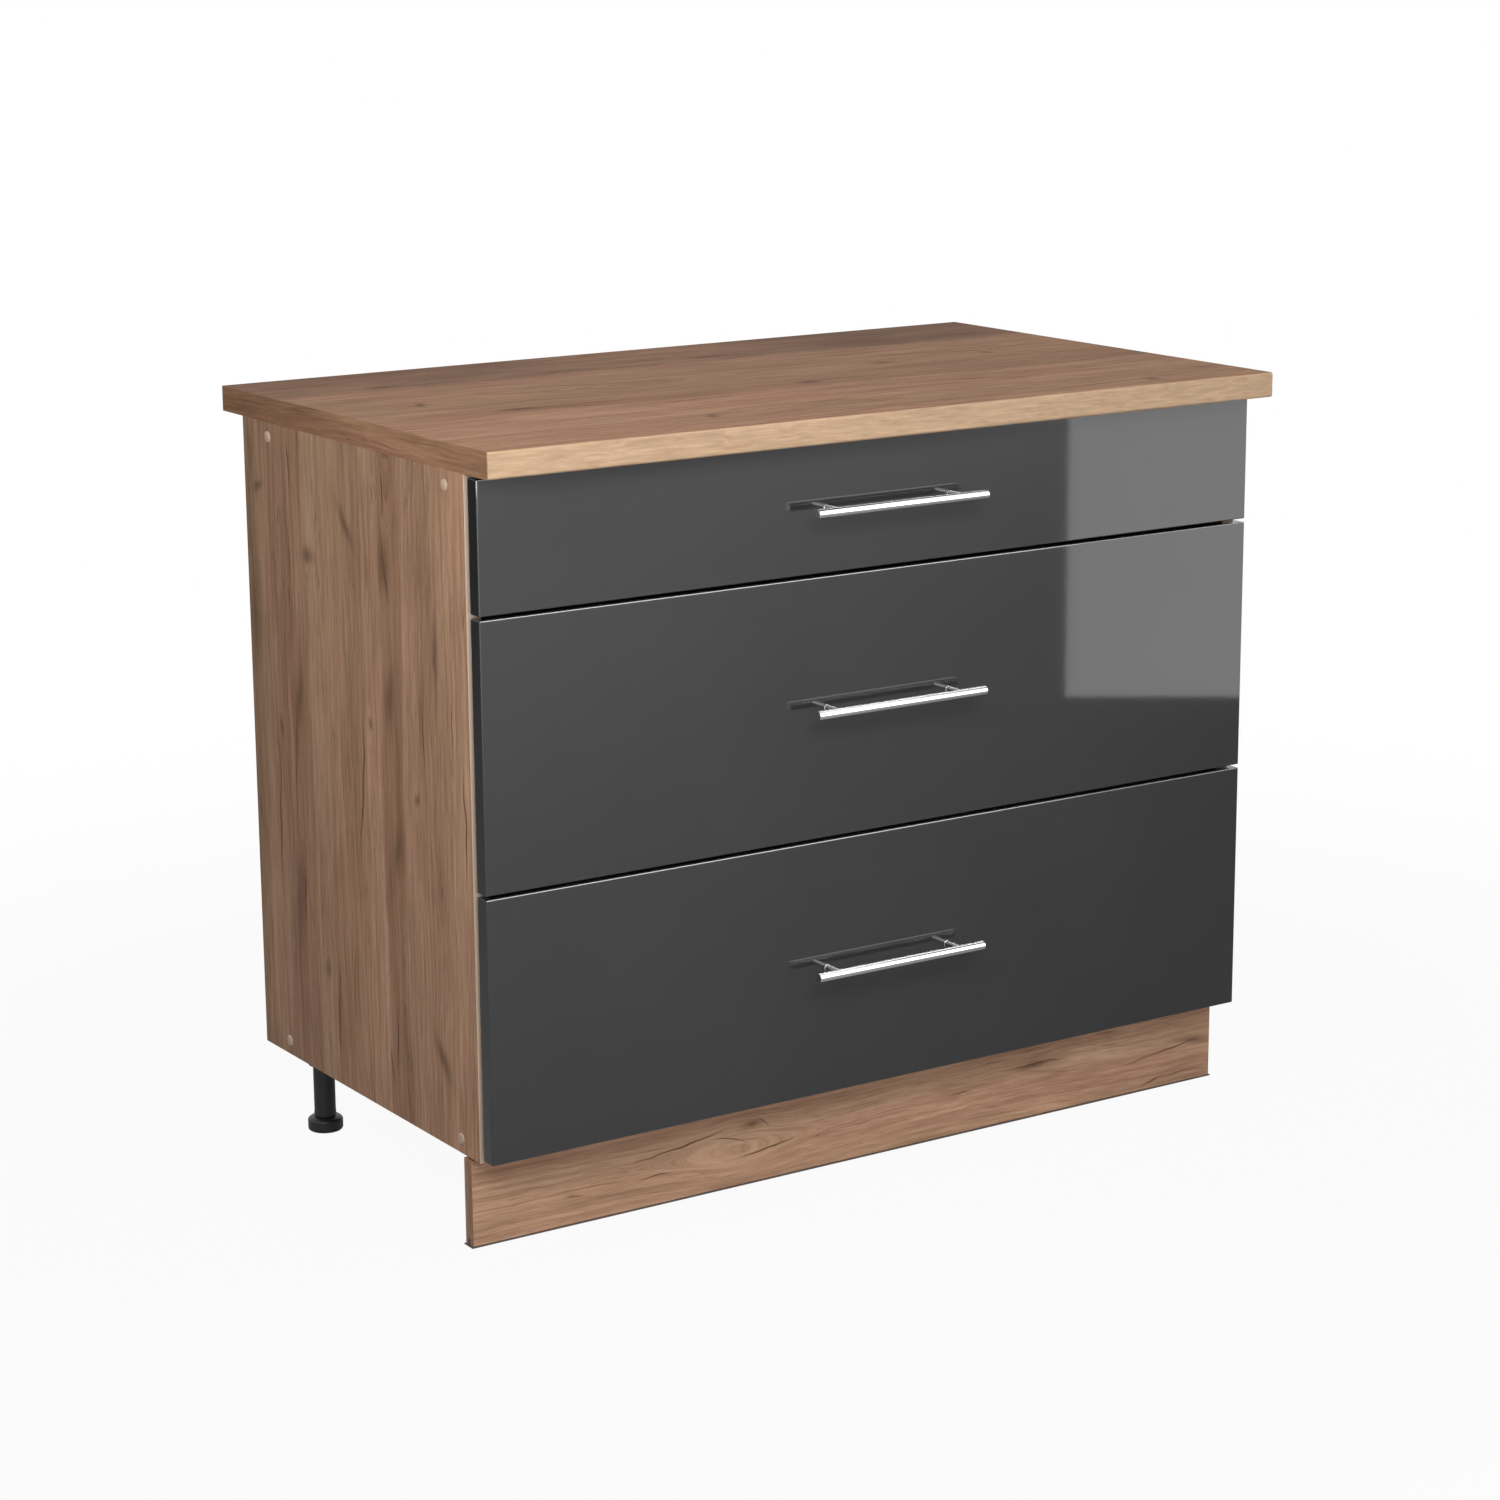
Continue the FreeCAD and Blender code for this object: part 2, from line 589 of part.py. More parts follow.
screw_ends = [(sign, y, z) for sign in (-1, 1) for y, z in carcass_screw_places]
keep_group("carcass_screws", copies(carcass_screw, [
    (sign * half_width, y, z, inward_at[sign]) for sign, y, z in screw_ends]))
keep_group("screw_caps", copies(screw_cap, [
    (sign * half_width, y, z, inward_at[sign]) for sign, y, z in screw_ends]))


# ---- worktop and what holds it

worktop = new_body("worktop")
worktop_block = pad_outline(worktop, "YZ", -half_width, cell("worktop_length"),
                            rectangle(worktop_front, carcass_top, worktop_back,
                                      carcass_top + cell("worktop_thickness")))
soften(worktop, worktop_block, "Fillet", "Radius", cell("worktop_edge"),
       lambda middle: abs(middle.y - worktop_front.value) < tolerance
       and abs(middle.x) < half_width.value / 2)
drill(worktop, "XY", carcass_top, cell("screw_length"), 1,
      [(sign * bracket_screw_x, y) for sign in (-1, 1) for y in bracket_ys],
      cell("screw_radius") + fastener_gap)
keep_body("worktop", worktop)

bracket_sheet = cell("bracket_sheet")
bracket_low = carcass_top - cell("bracket_leg")
bracket_profile = [(-inner_half, bracket_low), (bracket_sheet - inner_half, bracket_low),
                   (bracket_sheet - inner_half, carcass_top - bracket_sheet),
                   (cell("bracket_leg") - inner_half, carcass_top - bracket_sheet),
                   (cell("bracket_leg") - inner_half, carcass_top), (-inner_half, carcass_top)]
left_brackets = new_body("left_brackets")
for y in bracket_ys:
    pad_outline(left_brackets, "XZ", y - cell("bracket_width") / 2, cell("bracket_width"), bracket_profile)
drill(left_brackets, "YZ", -inner_half, bracket_sheet, 1,
      [(y, bracket_screw_z) for y in bracket_ys], cell("screw_radius") + fastener_gap)
drill(left_brackets, "XY", carcass_top, bracket_sheet, -1,
      [(-bracket_screw_x, y) for y in bracket_ys], cell("screw_radius") + fastener_gap)
into_place(left_brackets)
keep_group("worktop_brackets", [left_brackets, mirrored(left_brackets)])

hardware_places = [(x, y, panel_bottom - cell("leg_flange"), upward) for x, y in leg_screw_places]
for sign in (-1, 1):
    for y in bracket_ys:
        hardware_places.append((sign * (inner_half - bracket_sheet), y, bracket_screw_z, outward_at[sign]))
        hardware_places.append((sign * bracket_screw_x, y, carcass_top - bracket_sheet, upward))
hardware_places += [(x, back_front + cell("back_thickness"), z + board / 2, front)
                    for x in back_screw_xs for z in (panel_bottom, rail_bottom)]
keep_group("hardware_screws", copies(small_screw, hardware_places))


# ---- runners on the side panels, with their rollers

def make_runner(name, base):
    """A left runner: a channel open towards the drawer, with a stop on its track."""
    wall = -inner_half
    low = base
    high = base + cell("runner_height")
    body = new_body(name)
    profile = [(wall, low), (wall + cell("runner_track"), low), (wall + cell("runner_track"), low + sheet_metal),
               (wall + sheet_metal, low + sheet_metal), (wall + sheet_metal, high - sheet_metal),
               (wall + cell("runner_lip"), high - sheet_metal), (wall + cell("runner_lip"), high),
               (wall, high)]
    pad_outline(body, "XZ", runner_front, cell("runner_length"), profile)
    stop_y = drawer_roller_y - cell("drawer_travel") - cell("roller_radius")
    stop_top = low + sheet_metal + cell("stop_height")
    crest_back = stop_y + cell("stop_reach")
    crest_front = crest_back - cell("stop_crest")
    pad_outline(body, "YZ", wall + sheet_metal, cell("runner_track") - sheet_metal,
                [(crest_front - cell("stop_slope"), low + sheet_metal / 2),
                 (crest_back + cell("stop_slope"), low + sheet_metal / 2),
                 (crest_back, stop_top), (crest_front, stop_top)])
    drill(body, "YZ", wall, sheet_metal, 1, [(y, base + roller_height) for y in runner_screw_ys],
          cell("screw_head_radius") + fastener_gap)
    into_place(body)
    return body


for drawer_name, drawer in drawers.items():
    level = drawer_name.replace("_drawer", "")
    runner = make_runner(f"runner_{level}", drawer["base"])
    keep_group(f"runners_{level}", [runner, mirrored(runner)])

keep_group("runner_screws", copies(flush_screw, [
    (sign * inner_half, y, drawer["base"] + roller_height, outward_at[sign])
    for drawer in drawers.values() for sign in (-1, 1) for y in runner_screw_ys]))

runner_axle_length = cell("runner_track") - cell("axle_end_gap")
runner_axle = axle_template("runner_axle", runner_axle_length - sheet_metal)
keep_group("roller_axles", copies(runner_axle, [
    (sign * (inner_half - sheet_metal), runner_roller_y, drawer["base"] + roller_height, inward_at[sign])
    for drawer in drawers.values() for sign in (-1, 1)]))

for drawer_name, drawer in drawers.items():
    level = drawer_name.replace("_drawer", "")
    roller_z = drawer["base"] + roller_height
    keep_group(f"runner_rollers_{level}", copies(roller, [
        (sign * (inner_half - sheet_metal - cell("roller_side_gap")), runner_roller_y, roller_z,
         inward_at[sign])
        for sign in (-1, 1)]))
    keep_group(f"drawer_rollers_{level}", copies(roller, [
        (sign * (wall_outside + cell("roller_side_gap")), drawer_roller_y, roller_z, outward_at[sign])
        for sign in (-1, 1)]))


# ---- legs and plinth

leg_collar_bottom = panel_bottom - cell("leg_flange") - cell("leg_collar")
tube_bottom = cell("foot_height") + cell("foot_gap")
tube_top = panel_bottom - cell("leg_flange")
leg_socket = turned("leg_socket", [
    (0, cell("leg_collar")), (cell("tube_radius"), cell("leg_collar")), (cell("tube_radius"), 0),
    (cell("leg_collar_radius"), 0), (cell("leg_collar_radius"), cell("leg_collar")),
    (cell("leg_flange_radius"), cell("leg_collar")),
    (cell("leg_flange_radius"), cell("leg_collar") + cell("leg_flange")),
    (0, cell("leg_collar") + cell("leg_flange"))])
drill(leg_socket, "XY", cell("leg_collar"), cell("leg_flange"), 1,
      [(sign_x * leg_screw_reach, sign_y * leg_screw_reach) for sign_x in (-1, 1) for sign_y in (-1, 1)],
      cell("screw_radius") + fastener_gap)
keep_group("leg_sockets", copies(leg_socket, [
    (x, y, leg_collar_bottom, upward) for x, y in leg_places.values()]))

tube_length = tube_top - tube_bottom
leg_tube = turned("leg_tube", rectangle(cell("tube_bore"), 0, cell("tube_radius"), tube_length))
keep_group("leg_tubes", copies(leg_tube, [(x, y, tube_bottom, upward) for x, y in leg_places.values()]))

foot_wall = cell("foot_height") - cell("foot_shoulder")
foot = turned("foot", [
    (0, 0), (cell("foot_radius") - cell("foot_edge"), 0), (cell("foot_radius"), cell("foot_edge")),
    (cell("foot_radius"), foot_wall),
    (cell("foot_radius") - cell("foot_shoulder_width"), cell("foot_height")),
    (cell("spigot_radius"), cell("foot_height")),
    (cell("spigot_radius"), cell("foot_height") + cell("spigot_length")),
    (0, cell("foot_height") + cell("spigot_length"))])
notch_sketch = new_sketch(foot, "XY", as_size(0))
draw_outline(notch_sketch, rectangle(cell("foot_radius") - cell("foot_notch_depth"),
                                     -cell("foot_notch_width") / 2, cell("foot_radius") + tool_margin,
                                     cell("foot_notch_width") / 2))
cut(foot, "XY", notch_sketch, cell("foot_notch_height"), 1)
notch = foot.Tip
notch_ring = foot.newObject("PartDesign::PolarPattern", "notch_ring")
notch_ring.Originals = [notch]
notch_ring.Axis = (notch_sketch, ["N_Axis"])
notch_ring.Angle = 360
notch_ring.Occurrences = foot_notches
foot.Tip = notch_ring
doc.recompute()
for place, (x, y) in leg_places.items():
    keep(f"foot_{place}", copies(foot, [(x, y, 0, upward)])[0])

plinth = new_body("plinth")
pad_outline(plinth, "XZ", plinth_front, board,
            rectangle(-half_width, plinth_bottom, half_width, carcass_bottom - cell("plinth_gap")))
plinth_middle = plinth_front + board / 2
cut_outline(plinth, "YZ", -half_width, cell("carcass_width"), 1,
            rectangle(plinth_middle - cell("seal_rib") / 2, plinth_bottom, plinth_middle + cell("seal_rib") / 2,
                      plinth_bottom + cell("seal_rib_height")))
keep_body("plinth", plinth)

plinth_seal = new_body("plinth_seal")
seal_half = half_width + cell("seal_overlap")
rib_half = cell("seal_rib") / 2
seal_front = plinth_front - cell("seal_side")
seal_back = plinth_back + cell("seal_side")
pad_outline(plinth_seal, "YZ", -seal_half, 2 * seal_half, [
    (seal_front, cell("seal_lift")), (seal_back, cell("seal_lift")),
    (seal_back, plinth_bottom), (plinth_middle + rib_half, plinth_bottom),
    (plinth_middle + rib_half, plinth_bottom + cell("seal_rib_height")),
    (plinth_middle - rib_half, plinth_bottom + cell("seal_rib_height")),
    (plinth_middle - rib_half, plinth_bottom), (seal_front, plinth_bottom)])
keep_body("plinth_seal", plinth_seal)


def make_plinth_clip():
    """A ring on the left front leg with a stem and a plate that the plinth is held by."""
    low = carcass_bottom - cell("plinth_gap") - cell("clip_drop")
    pieces = []
    plate_back = plinth_back + cell("clip_wall")
    for name, width, start, end in (("clip_plate", cell("clip_plate"), plinth_back, plate_back),
                                    ("clip_stem", cell("clip_stem"), plinth_back, front_leg_y)):
        block = doc.addObject("Part::Box", name)
        bind(block, "Length", width)
        bind(block, "Width", end - start)
        bind(block, "Height", cell("clip_height"))
        into_place(block, -leg_x - width / 2, start, low)
        pieces.append(block)
    rings = []
    for name, radius in (("clip_outside", cell("tube_radius") + cell("clip_wall")),
                         ("clip_inside", cell("tube_radius"))):
        ring = doc.addObject("Part::Cylinder", name)
        bind(ring, "Radius", radius)
        bind(ring, "Height", cell("clip_height"))
        into_place(ring, -leg_x, front_leg_y, low)
        rings.append(ring)
    whole = doc.addObject("Part::MultiFuse", "clip_whole")
    whole.Shapes = pieces + rings[:1]
    clip = doc.addObject("Part::Cut", "plinth_clip")
    clip.Base = whole
    clip.Tool = rings[1]
    return clip


plinth_clip = make_plinth_clip()
keep_group("plinth_clips", [plinth_clip, mirrored(plinth_clip)])


# ---- drawers

def make_drawer_side(name, base, height):
    """A left drawer side: one folded sheet with wall, shelf, roller flange, hem and front tab."""
    outside = -wall_outside
    inside = -wall_inside
    shelf = base + cell("drawer_lift")
    flange = base + roller_height + cell("roller_radius") + cell("roller_clearance")
    flange_reach = outside - cell("drawer_clearance") + 2 * sheet_metal
    top = base + height
    hem = outside - cell("hem_width")
    body = new_body(name)
    pad_outline(body, "XZ", drawer_front, cell("runner_length"), [
        (outside, shelf), (inside + cell("drawer_shelf"), shelf),
        (inside + cell("drawer_shelf"), shelf + sheet_metal), (inside, shelf + sheet_metal), (inside, top),
        (hem, top), (hem, top - cell("hem_drop")), (hem + sheet_metal, top - cell("hem_drop")),
        (hem + sheet_metal, top - sheet_metal), (outside, top - sheet_metal),
        (outside, flange + sheet_metal), (flange_reach, flange + sheet_metal), (flange_reach, flange),
        (outside, flange)])
    pad_outline(body, "XZ", drawer_front, sheet_metal,
                rectangle(inside, base + drawer_floor_top + cell("tab_gap"),
                          inside + cell("drawer_shelf"), top - cell("tab_drop")))
    screw_hole = cell("screw_radius") + fastener_gap
    drill(body, "XZ", drawer_front, sheet_metal, 1,
          [(inside + cell("drawer_shelf") / 2, z) for z in tab_screw_zs(base, height)], screw_hole)
    drill(body, "YZ", outside, sheet_metal, 1,
          [(drawer_back - board / 2, z) for z in back_screw_zs(base, height)], screw_hole)
    drill(body, "YZ", outside, sheet_metal, 1, [(drawer_roller_y, base + roller_height)],
          cell("axle_radius") + fastener_gap)
    drill(body, "XY", shelf, sheet_metal, 1,
          [(inside + cell("drawer_shelf") / 2, y) for y in shelf_screw_ys()], screw_hole)
    return body


def tab_screw_zs(base, height):
    return [base + drawer_floor_top + cell("side_screw_rise"), base + height - cell("tab_screw_drop")]


def back_screw_zs(base, height):
    return [base + drawer_floor_top + cell("side_screw_rise"), base + height - cell("back_screw_drop")]


def shelf_screw_ys():
    return [drawer_front + cell("runner_length") * share for share in shelf_screw_shares]


def back_top(drawer):
    """The low back stays under the hem's height; a deep back carries the side rails."""
    return drawer["base"] + (drawer["back"] if drawer["deep"] else drawer["back"] - cell("hem_drop"))


def make_front(name, drawer, handle_z):
    low = drawer["front_z"]
    half = half_width - cell("front_reveal")
    body = new_body(f"{name}_front")
    block = pad_outline(body, "XZ", as_size(0), cell("front_thickness"),
                        rectangle(-half, low, half, low + drawer["front"]))
    soften(body, block, "Fillet", "Radius", cell("front_edge"), lambda middle: abs(middle.y) < tolerance)
    drill(body, "XZ", as_size(0), cell("front_thickness"), 1, [(-post_x, handle_z), (post_x, handle_z)],
          cell("handle_screw_radius") + fastener_gap)
    tab_x = wall_inside - cell("drawer_shelf") / 2
    drill(body, "XZ", cell("front_thickness"), cell("screw_length") - sheet_metal, -1,
          [(sign * tab_x, z) for sign in (-1, 1) for z in tab_screw_zs(drawer["base"], drawer["side"])],
          cell("screw_radius") + fastener_gap)
    keep_body(f"{name}_front", body)


def make_handle(name, handle_z):
    bar_y = -cell("handle_standoff")
    bar = new_body(f"{name}_handle_bar")
    sketch = new_sketch(bar, "YZ", -cell("handle_length") / 2)
    draw_circle(sketch, bar_y, handle_z, cell("handle_radius"))
    rod = finish_pad(bar, "YZ", sketch, cell("handle_length"))
    soften(bar, rod, "Chamfer", "Size", cell("bar_chamfer"),
           lambda middle: abs(abs(middle.x) - cell("handle_length").value / 2) < tolerance)
    seat_y = bar_y + cell("handle_radius") - cell("post_seat")
    drill(bar, "XZ", seat_y, cell("post_seat") + tool_margin, 1, [(-post_x, handle_z), (post_x, handle_z)],
          cell("post_radius"))
    keep_body(f"{name}_handle_bar", bar)

    posts = new_body(f"{name}_handle_posts")
    post_sketch = new_sketch(posts, "XZ", seat_y)
    for sign in (-1, 1):
        draw_circle(post_sketch, sign * post_x, handle_z, cell("post_radius"))
    finish_pad(posts, "XZ", post_sketch, -seat_y)
    drill(posts, "XZ", as_size(0), cell("handle_screw_reach") + cell("handle_screw_play"), -1,
          [(-post_x, handle_z), (post_x, handle_z)], cell("handle_screw_radius") + fastener_gap)
    keep_body(f"{name}_handle_posts", posts)


def make_drawer_boards(name, drawer):
    base = drawer["base"]
    floor_board = new_body(f"{name}_bottom")
    pad_outline(floor_board, "XY", base + drawer_floor, board,
                rectangle(-wall_inside, drawer_front, wall_inside, drawer_back))
    shelf_x = wall_inside - cell("drawer_shelf") / 2
    drill(floor_board, "XY", base + drawer_floor, cell("screw_length") - sheet_metal, 1,
          [(sign * shelf_x, y) for sign in (-1, 1) for y in shelf_screw_ys()],
          cell("screw_radius") + fastener_gap)
    keep_body(f"{name}_bottom", floor_board)

    back_board = new_body(f"{name}_back")
    pad_outline(back_board, "XZ", drawer_back - board, board,
                rectangle(-wall_inside, base + drawer_floor_top, wall_inside, back_top(drawer)))
    ends = [(drawer_back - board / 2, z) for z in back_screw_zs(base, drawer["side"])]
    for sign in (-1, 1):
        drill(back_board, "YZ", sign * wall_inside, cell("screw_length") - sheet_metal, -sign, ends,
              cell("screw_radius") + fastener_gap)
    keep_body(f"{name}_back", back_board)


def make_side_rails(name, base):
    """The round rails above a deep drawer's sides, in sockets on the front and the back."""
    rail_x = inner_half - cell("rail_inset")
    rail_z = base + cell("rail_height")
    back_face = drawer_back - board
    seat = cell("socket_floor")
    sockets = new_body(f"{name}_rail_sockets")
    for start in (drawer_front, back_face - cell("socket_length")):
        sketch = new_sketch(sockets, "XZ", start)
        for sign in (-1, 1):
            draw_circle(sketch, sign * rail_x, rail_z, cell("socket_radius"))
        finish_pad(sockets, "XZ", sketch, cell("socket_length"))
    bores = [(-rail_x, rail_z), (rail_x, rail_z)]
    depth = cell("socket_length") - seat
    drill(sockets, "XZ", drawer_front + cell("socket_length"), depth, -1, bores, cell("rail_radius"))
    drill(sockets, "XZ", back_face - cell("socket_length"), depth, 1, bores, cell("rail_radius"))
    keep_body(f"{name}_rail_sockets", sockets)

    rails = new_body(f"{name}_side_rails")
    sketch = new_sketch(rails, "XZ", drawer_front + seat)
    for sign in (-1, 1):
        draw_circle(sketch, sign * rail_x, rail_z, cell("rail_radius"))
    finish_pad(rails, "XZ", sketch, back_face - drawer_front - 2 * seat)
    keep_body(f"{name}_side_rails", rails)


# from the inside of the drawer side to just before the runner's web
drawer_axle = axle_template("drawer_axle", cell("drawer_clearance") - cell("roller_side_gap"))


def make_drawer_fixings(name, drawer, handle_z):
    base = drawer["base"]
    places = []
    axle_places = []
    for sign in (-1, 1):
        tab_x = sign * (wall_inside - cell("drawer_shelf") / 2)
        for z in tab_screw_zs(base, drawer["side"]):
            places.append((tab_x, drawer_front + sheet_metal, z, front))
        for z in back_screw_zs(base, drawer["side"]):
            places.append((sign * wall_outside, drawer_back - board / 2, z, inward_at[sign]))
        for y in shelf_screw_ys():
            places.append((tab_x, y, base + cell("drawer_lift"), upward))
        axle_places.append((sign * wall_inside, drawer_roller_y, base + roller_height, outward_at[sign]))
    handle_places = [(sign * post_x, drawer_front, handle_z, front) for sign in (-1, 1)]
    keep_group(f"{name}_fixings", copies(small_screw, places) + copies(drawer_axle, axle_places)
               + copies(handle_screw, handle_places))


for drawer_name, drawer in drawers.items():
    handle_z = drawer["front_z"] + drawer["front"] / 2
    make_front(drawer_name, drawer, handle_z)
    make_handle(drawer_name, handle_z)
    drawer_side = keep_body(f"{drawer_name}_side_left",
                            make_drawer_side(f"{drawer_name}_side", drawer["base"], drawer["side"]))
    keep(f"{drawer_name}_side_right", mirrored(drawer_side))
    make_drawer_boards(drawer_name, drawer)
    if drawer["deep"]:
        make_side_rails(drawer_name, drawer["base"])
    make_drawer_fixings(drawer_name, drawer, handle_z)


# ---- check everything, then write one file for each sub-part

doc.recompute()
for thing in doc.Objects:
    if "Invalid" in thing.State or "Error" in thing.State:
        raise RuntimeError(f"{thing.Label} did not recompute: {thing.State}")
shapes = {}
for label, thing in nodes:
    shape = Part.getShape(thing)
    if shape.isNull() or not shape.isValid() or not shape.Solids:
        raise RuntimeError(f"{label} has no valid shape")
    shapes[label] = shape
os.makedirs("parts", exist_ok=True)
for label, shape in shapes.items():
    shape.exportStep(os.path.join("parts", f"{label}.step"))
print(f"{len(shapes)} sub-parts written")
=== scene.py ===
import json
import math

import bmesh
import bpy
from mathutils import Matrix, Vector


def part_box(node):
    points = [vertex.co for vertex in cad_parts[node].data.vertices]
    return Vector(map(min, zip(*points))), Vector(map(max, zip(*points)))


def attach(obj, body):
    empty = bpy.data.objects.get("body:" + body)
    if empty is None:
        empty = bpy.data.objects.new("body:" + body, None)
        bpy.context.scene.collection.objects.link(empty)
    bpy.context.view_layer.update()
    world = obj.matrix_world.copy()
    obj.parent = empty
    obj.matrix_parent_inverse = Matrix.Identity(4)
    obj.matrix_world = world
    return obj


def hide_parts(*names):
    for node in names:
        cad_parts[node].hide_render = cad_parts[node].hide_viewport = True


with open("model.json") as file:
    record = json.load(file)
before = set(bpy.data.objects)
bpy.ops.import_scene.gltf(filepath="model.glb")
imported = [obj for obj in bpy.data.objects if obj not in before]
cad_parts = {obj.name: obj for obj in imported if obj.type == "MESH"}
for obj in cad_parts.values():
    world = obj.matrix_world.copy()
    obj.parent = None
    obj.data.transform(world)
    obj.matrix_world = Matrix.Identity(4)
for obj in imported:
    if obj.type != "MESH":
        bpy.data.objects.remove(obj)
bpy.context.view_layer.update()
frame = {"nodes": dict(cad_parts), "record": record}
print("frame loaded:", len(frame["nodes"]), "nodes")

# Kitchen base cabinet with three drawers. Metres, +Z up, the drawer fronts face -Y.

bodyOf = {node: body for body, nodes in frame["record"]["behaviour"]["bodies"].items() for node in nodes}


class Wire:
    # one output of a material's nodes; arithmetic on wires adds Math nodes
    def __init__(self, look, socket):
        self.look = look
        self.socket = socket

    def other(self, output):
        return Wire(self.look, self.socket.node.outputs[output])

    def maths(self, operation, first, second=0.0):
        return self.look.node("ShaderNodeMath", {"operation": operation}, {0: first, 1: second})

    def __add__(self, value):
        return self.maths("ADD", self, value)

    def __radd__(self, value):
        return self.maths("ADD", value, self)

    def __sub__(self, value):
        return self.maths("SUBTRACT", self, value)

    def __rsub__(self, value):
        return self.maths("SUBTRACT", value, self)

    def __mul__(self, value):
        return self.maths("MULTIPLY", self, value)

    def __rmul__(self, value):
        return self.maths("MULTIPLY", value, self)

    def __truediv__(self, value):
        return self.maths("DIVIDE", self, value)

    def __abs__(self):
        return self.maths("ABSOLUTE", self)

    def above(self, value):
        return self.maths("GREATER_THAN", self, value)

    def larger(self, value):
        return self.maths("MAXIMUM", self, value)

    def fade(self):
        return self.maths("EXPONENT", self)

    def root(self):
        return self.maths("SQRT", self)

    def sign(self):
        return self.maths("SIGN", self)

    def rise(self, low, high):
        # 0 below low, 1 above high, smooth in between
        return self.look.node("ShaderNodeMapRange", {"interpolation_type": "SMOOTHSTEP"},
                              {"Value": self, "From Min": low, "From Max": high})


class Look:
    # the nodes of one material, or of the world where one is handed in
    def __init__(self, name, world=None):
        self.material = world or bpy.data.materials.new(name)
        self.material.use_nodes = True
        self.tree = self.material.node_tree
        self.tree.nodes.clear()
        if world is None:
            self.place = self.node("ShaderNodeTexCoord", None, None, "Object")

    def node(self, kind, settings=None, sockets=None, output=0):
        made = self.tree.nodes.new(kind)
        for name, value in (settings or {}).items():
            if name == "stops":
                elements = made.color_ramp.elements
                elements.remove(elements[1])
                elements[0].position, elements[0].color = value[0]
                for position, colour in value[1:]:
                    elements.new(position).color = colour
            else:
                setattr(made, name, value)
        for name, value in (sockets or {}).items():
            if isinstance(value, Wire):
                self.tree.links.new(value.socket, made.inputs[name])
            else:
                made.inputs[name].default_value = value
        return Wire(self, made.outputs[output]) if made.outputs else None

    def axes(self, order="XYZ"):
        split = self.node("ShaderNodeSeparateXYZ", None, {0: self.place})
        return [split.other(axis) for axis in order]

    def vector(self, x, y, z):
        return self.node("ShaderNodeCombineXYZ", None, {0: x, 1: y, 2: z})

    def noise(self, vector, scale=1.0, detail=2.0, roughness=0.5):
        return self.node("ShaderNodeTexNoise", None, {
            "Vector": vector, "Scale": scale, "Detail": detail, "Roughness": roughness})

    def grain(self, x, y, z, detail=2.0, roughness=0.5):
        # noise that is stretched by its own factor along each axis
        return self.noise(self.vector(x, y, z), 1.0, detail, roughness)

    def mix(self, share, first, second, blend="MIX"):
        return self.node("ShaderNodeMix", {"data_type": "RGBA", "blend_type": blend},
                         {0: share, 6: first, 7: second}, 2)

    def ramp(self, value, stops):
        return self.node("ShaderNodeValToRGB", {"stops": [(at, (*colour, 1)) for at, colour in stops]}, {0: value})

    def surface(self, sockets, height=None, depth=0.0001):
        # the shader itself; depth is how far the height reaches, in metres
        sockets = dict(sockets)
        if height is not None:
            sockets["Normal"] = self.node("ShaderNodeBump", None, {
                "Strength": 1.0, "Distance": depth, "Height": height})
        shader = self.node("ShaderNodeBsdfPrincipled", None, sockets)
        self.node("ShaderNodeOutputMaterial", None, {"Surface": shader})
        return self.material


def flat(red, green, blue):
    return (red, green, blue, 1.0)


print("materials: oak")

oak = {
    "dark": (0.155, 0.088, 0.052),
    "middle": (0.35, 0.207, 0.13),
    "light": (0.56, 0.357, 0.232),
    "red": (0.405, 0.214, 0.143),
    "olive": (0.352, 0.224, 0.136),
    "crack": (0.092, 0.045, 0.026),
    "knot": (0.125, 0.066, 0.038),
    "band": (0.515, 0.352, 0.228),  # the pale edging on the worktop's front, partly its own paler tone and partly painted light
    "sway": 0.04,  # how far the grain wanders sideways
    "ragged": 0.006,  # how uneven its lines are
    "wideBands": 14.0,  # per metre across the grain, as are the next three
    "streaks": 210.0,
    "fibres": 640.0,
    "pores": 900.0,
    "relief": 0.00012,  # how deep the grain lies, in metres
}


def sideways(bent, along, knots):
    # the grain parts in front of a knot and closes behind it, and lies in rings inside it
    for knotAcross, knotAlong, size in knots:
        aside = bent - knotAcross
        ahead = (along - knotAlong) / (size * 3.2)
        beyond = aside * aside - (ahead * ahead * -1.0).fade() * (size * size)
        side = 1 - beyond.above(0.0) * (1 - aside.sign())
        bent = abs(beyond).root() * side + knotAcross
    return bent


def crackMask(across, along, crack):
    # a crack runs from its start to its end, bows to one side and thins out at both ends
    (startAcross, startAlong), (endAcross, endAlong), width, bow = crack
    share = (along - startAlong) / (endAlong - startAlong)
    swell = (1 - share) * share * 4
    line = share * (endAcross - startAcross) + swell * bow + startAcross
    return (swell * width - abs(across - line)).rise(0.0, width * 0.9)


def ovalMask(across, along, oval):
    # a dark patch that leans: its place, half width, half length and lean in degrees
    patchAcross, patchAlong, width, length, lean = oval
    cosine, sine = math.cos(math.radians(lean)), math.sin(math.radians(lean))
    aside = across - patchAcross
    ahead = along - patchAlong
    wide = (aside * cosine + ahead * sine) / width
    long = (ahead * cosine - aside * sine) / length
    return ((wide * wide + long * long) * -1.0).fade()


def strongest(masks):
    whole = masks[0]
    for mask in masks[1:]:
        whole = whole.larger(mask)
    return whole


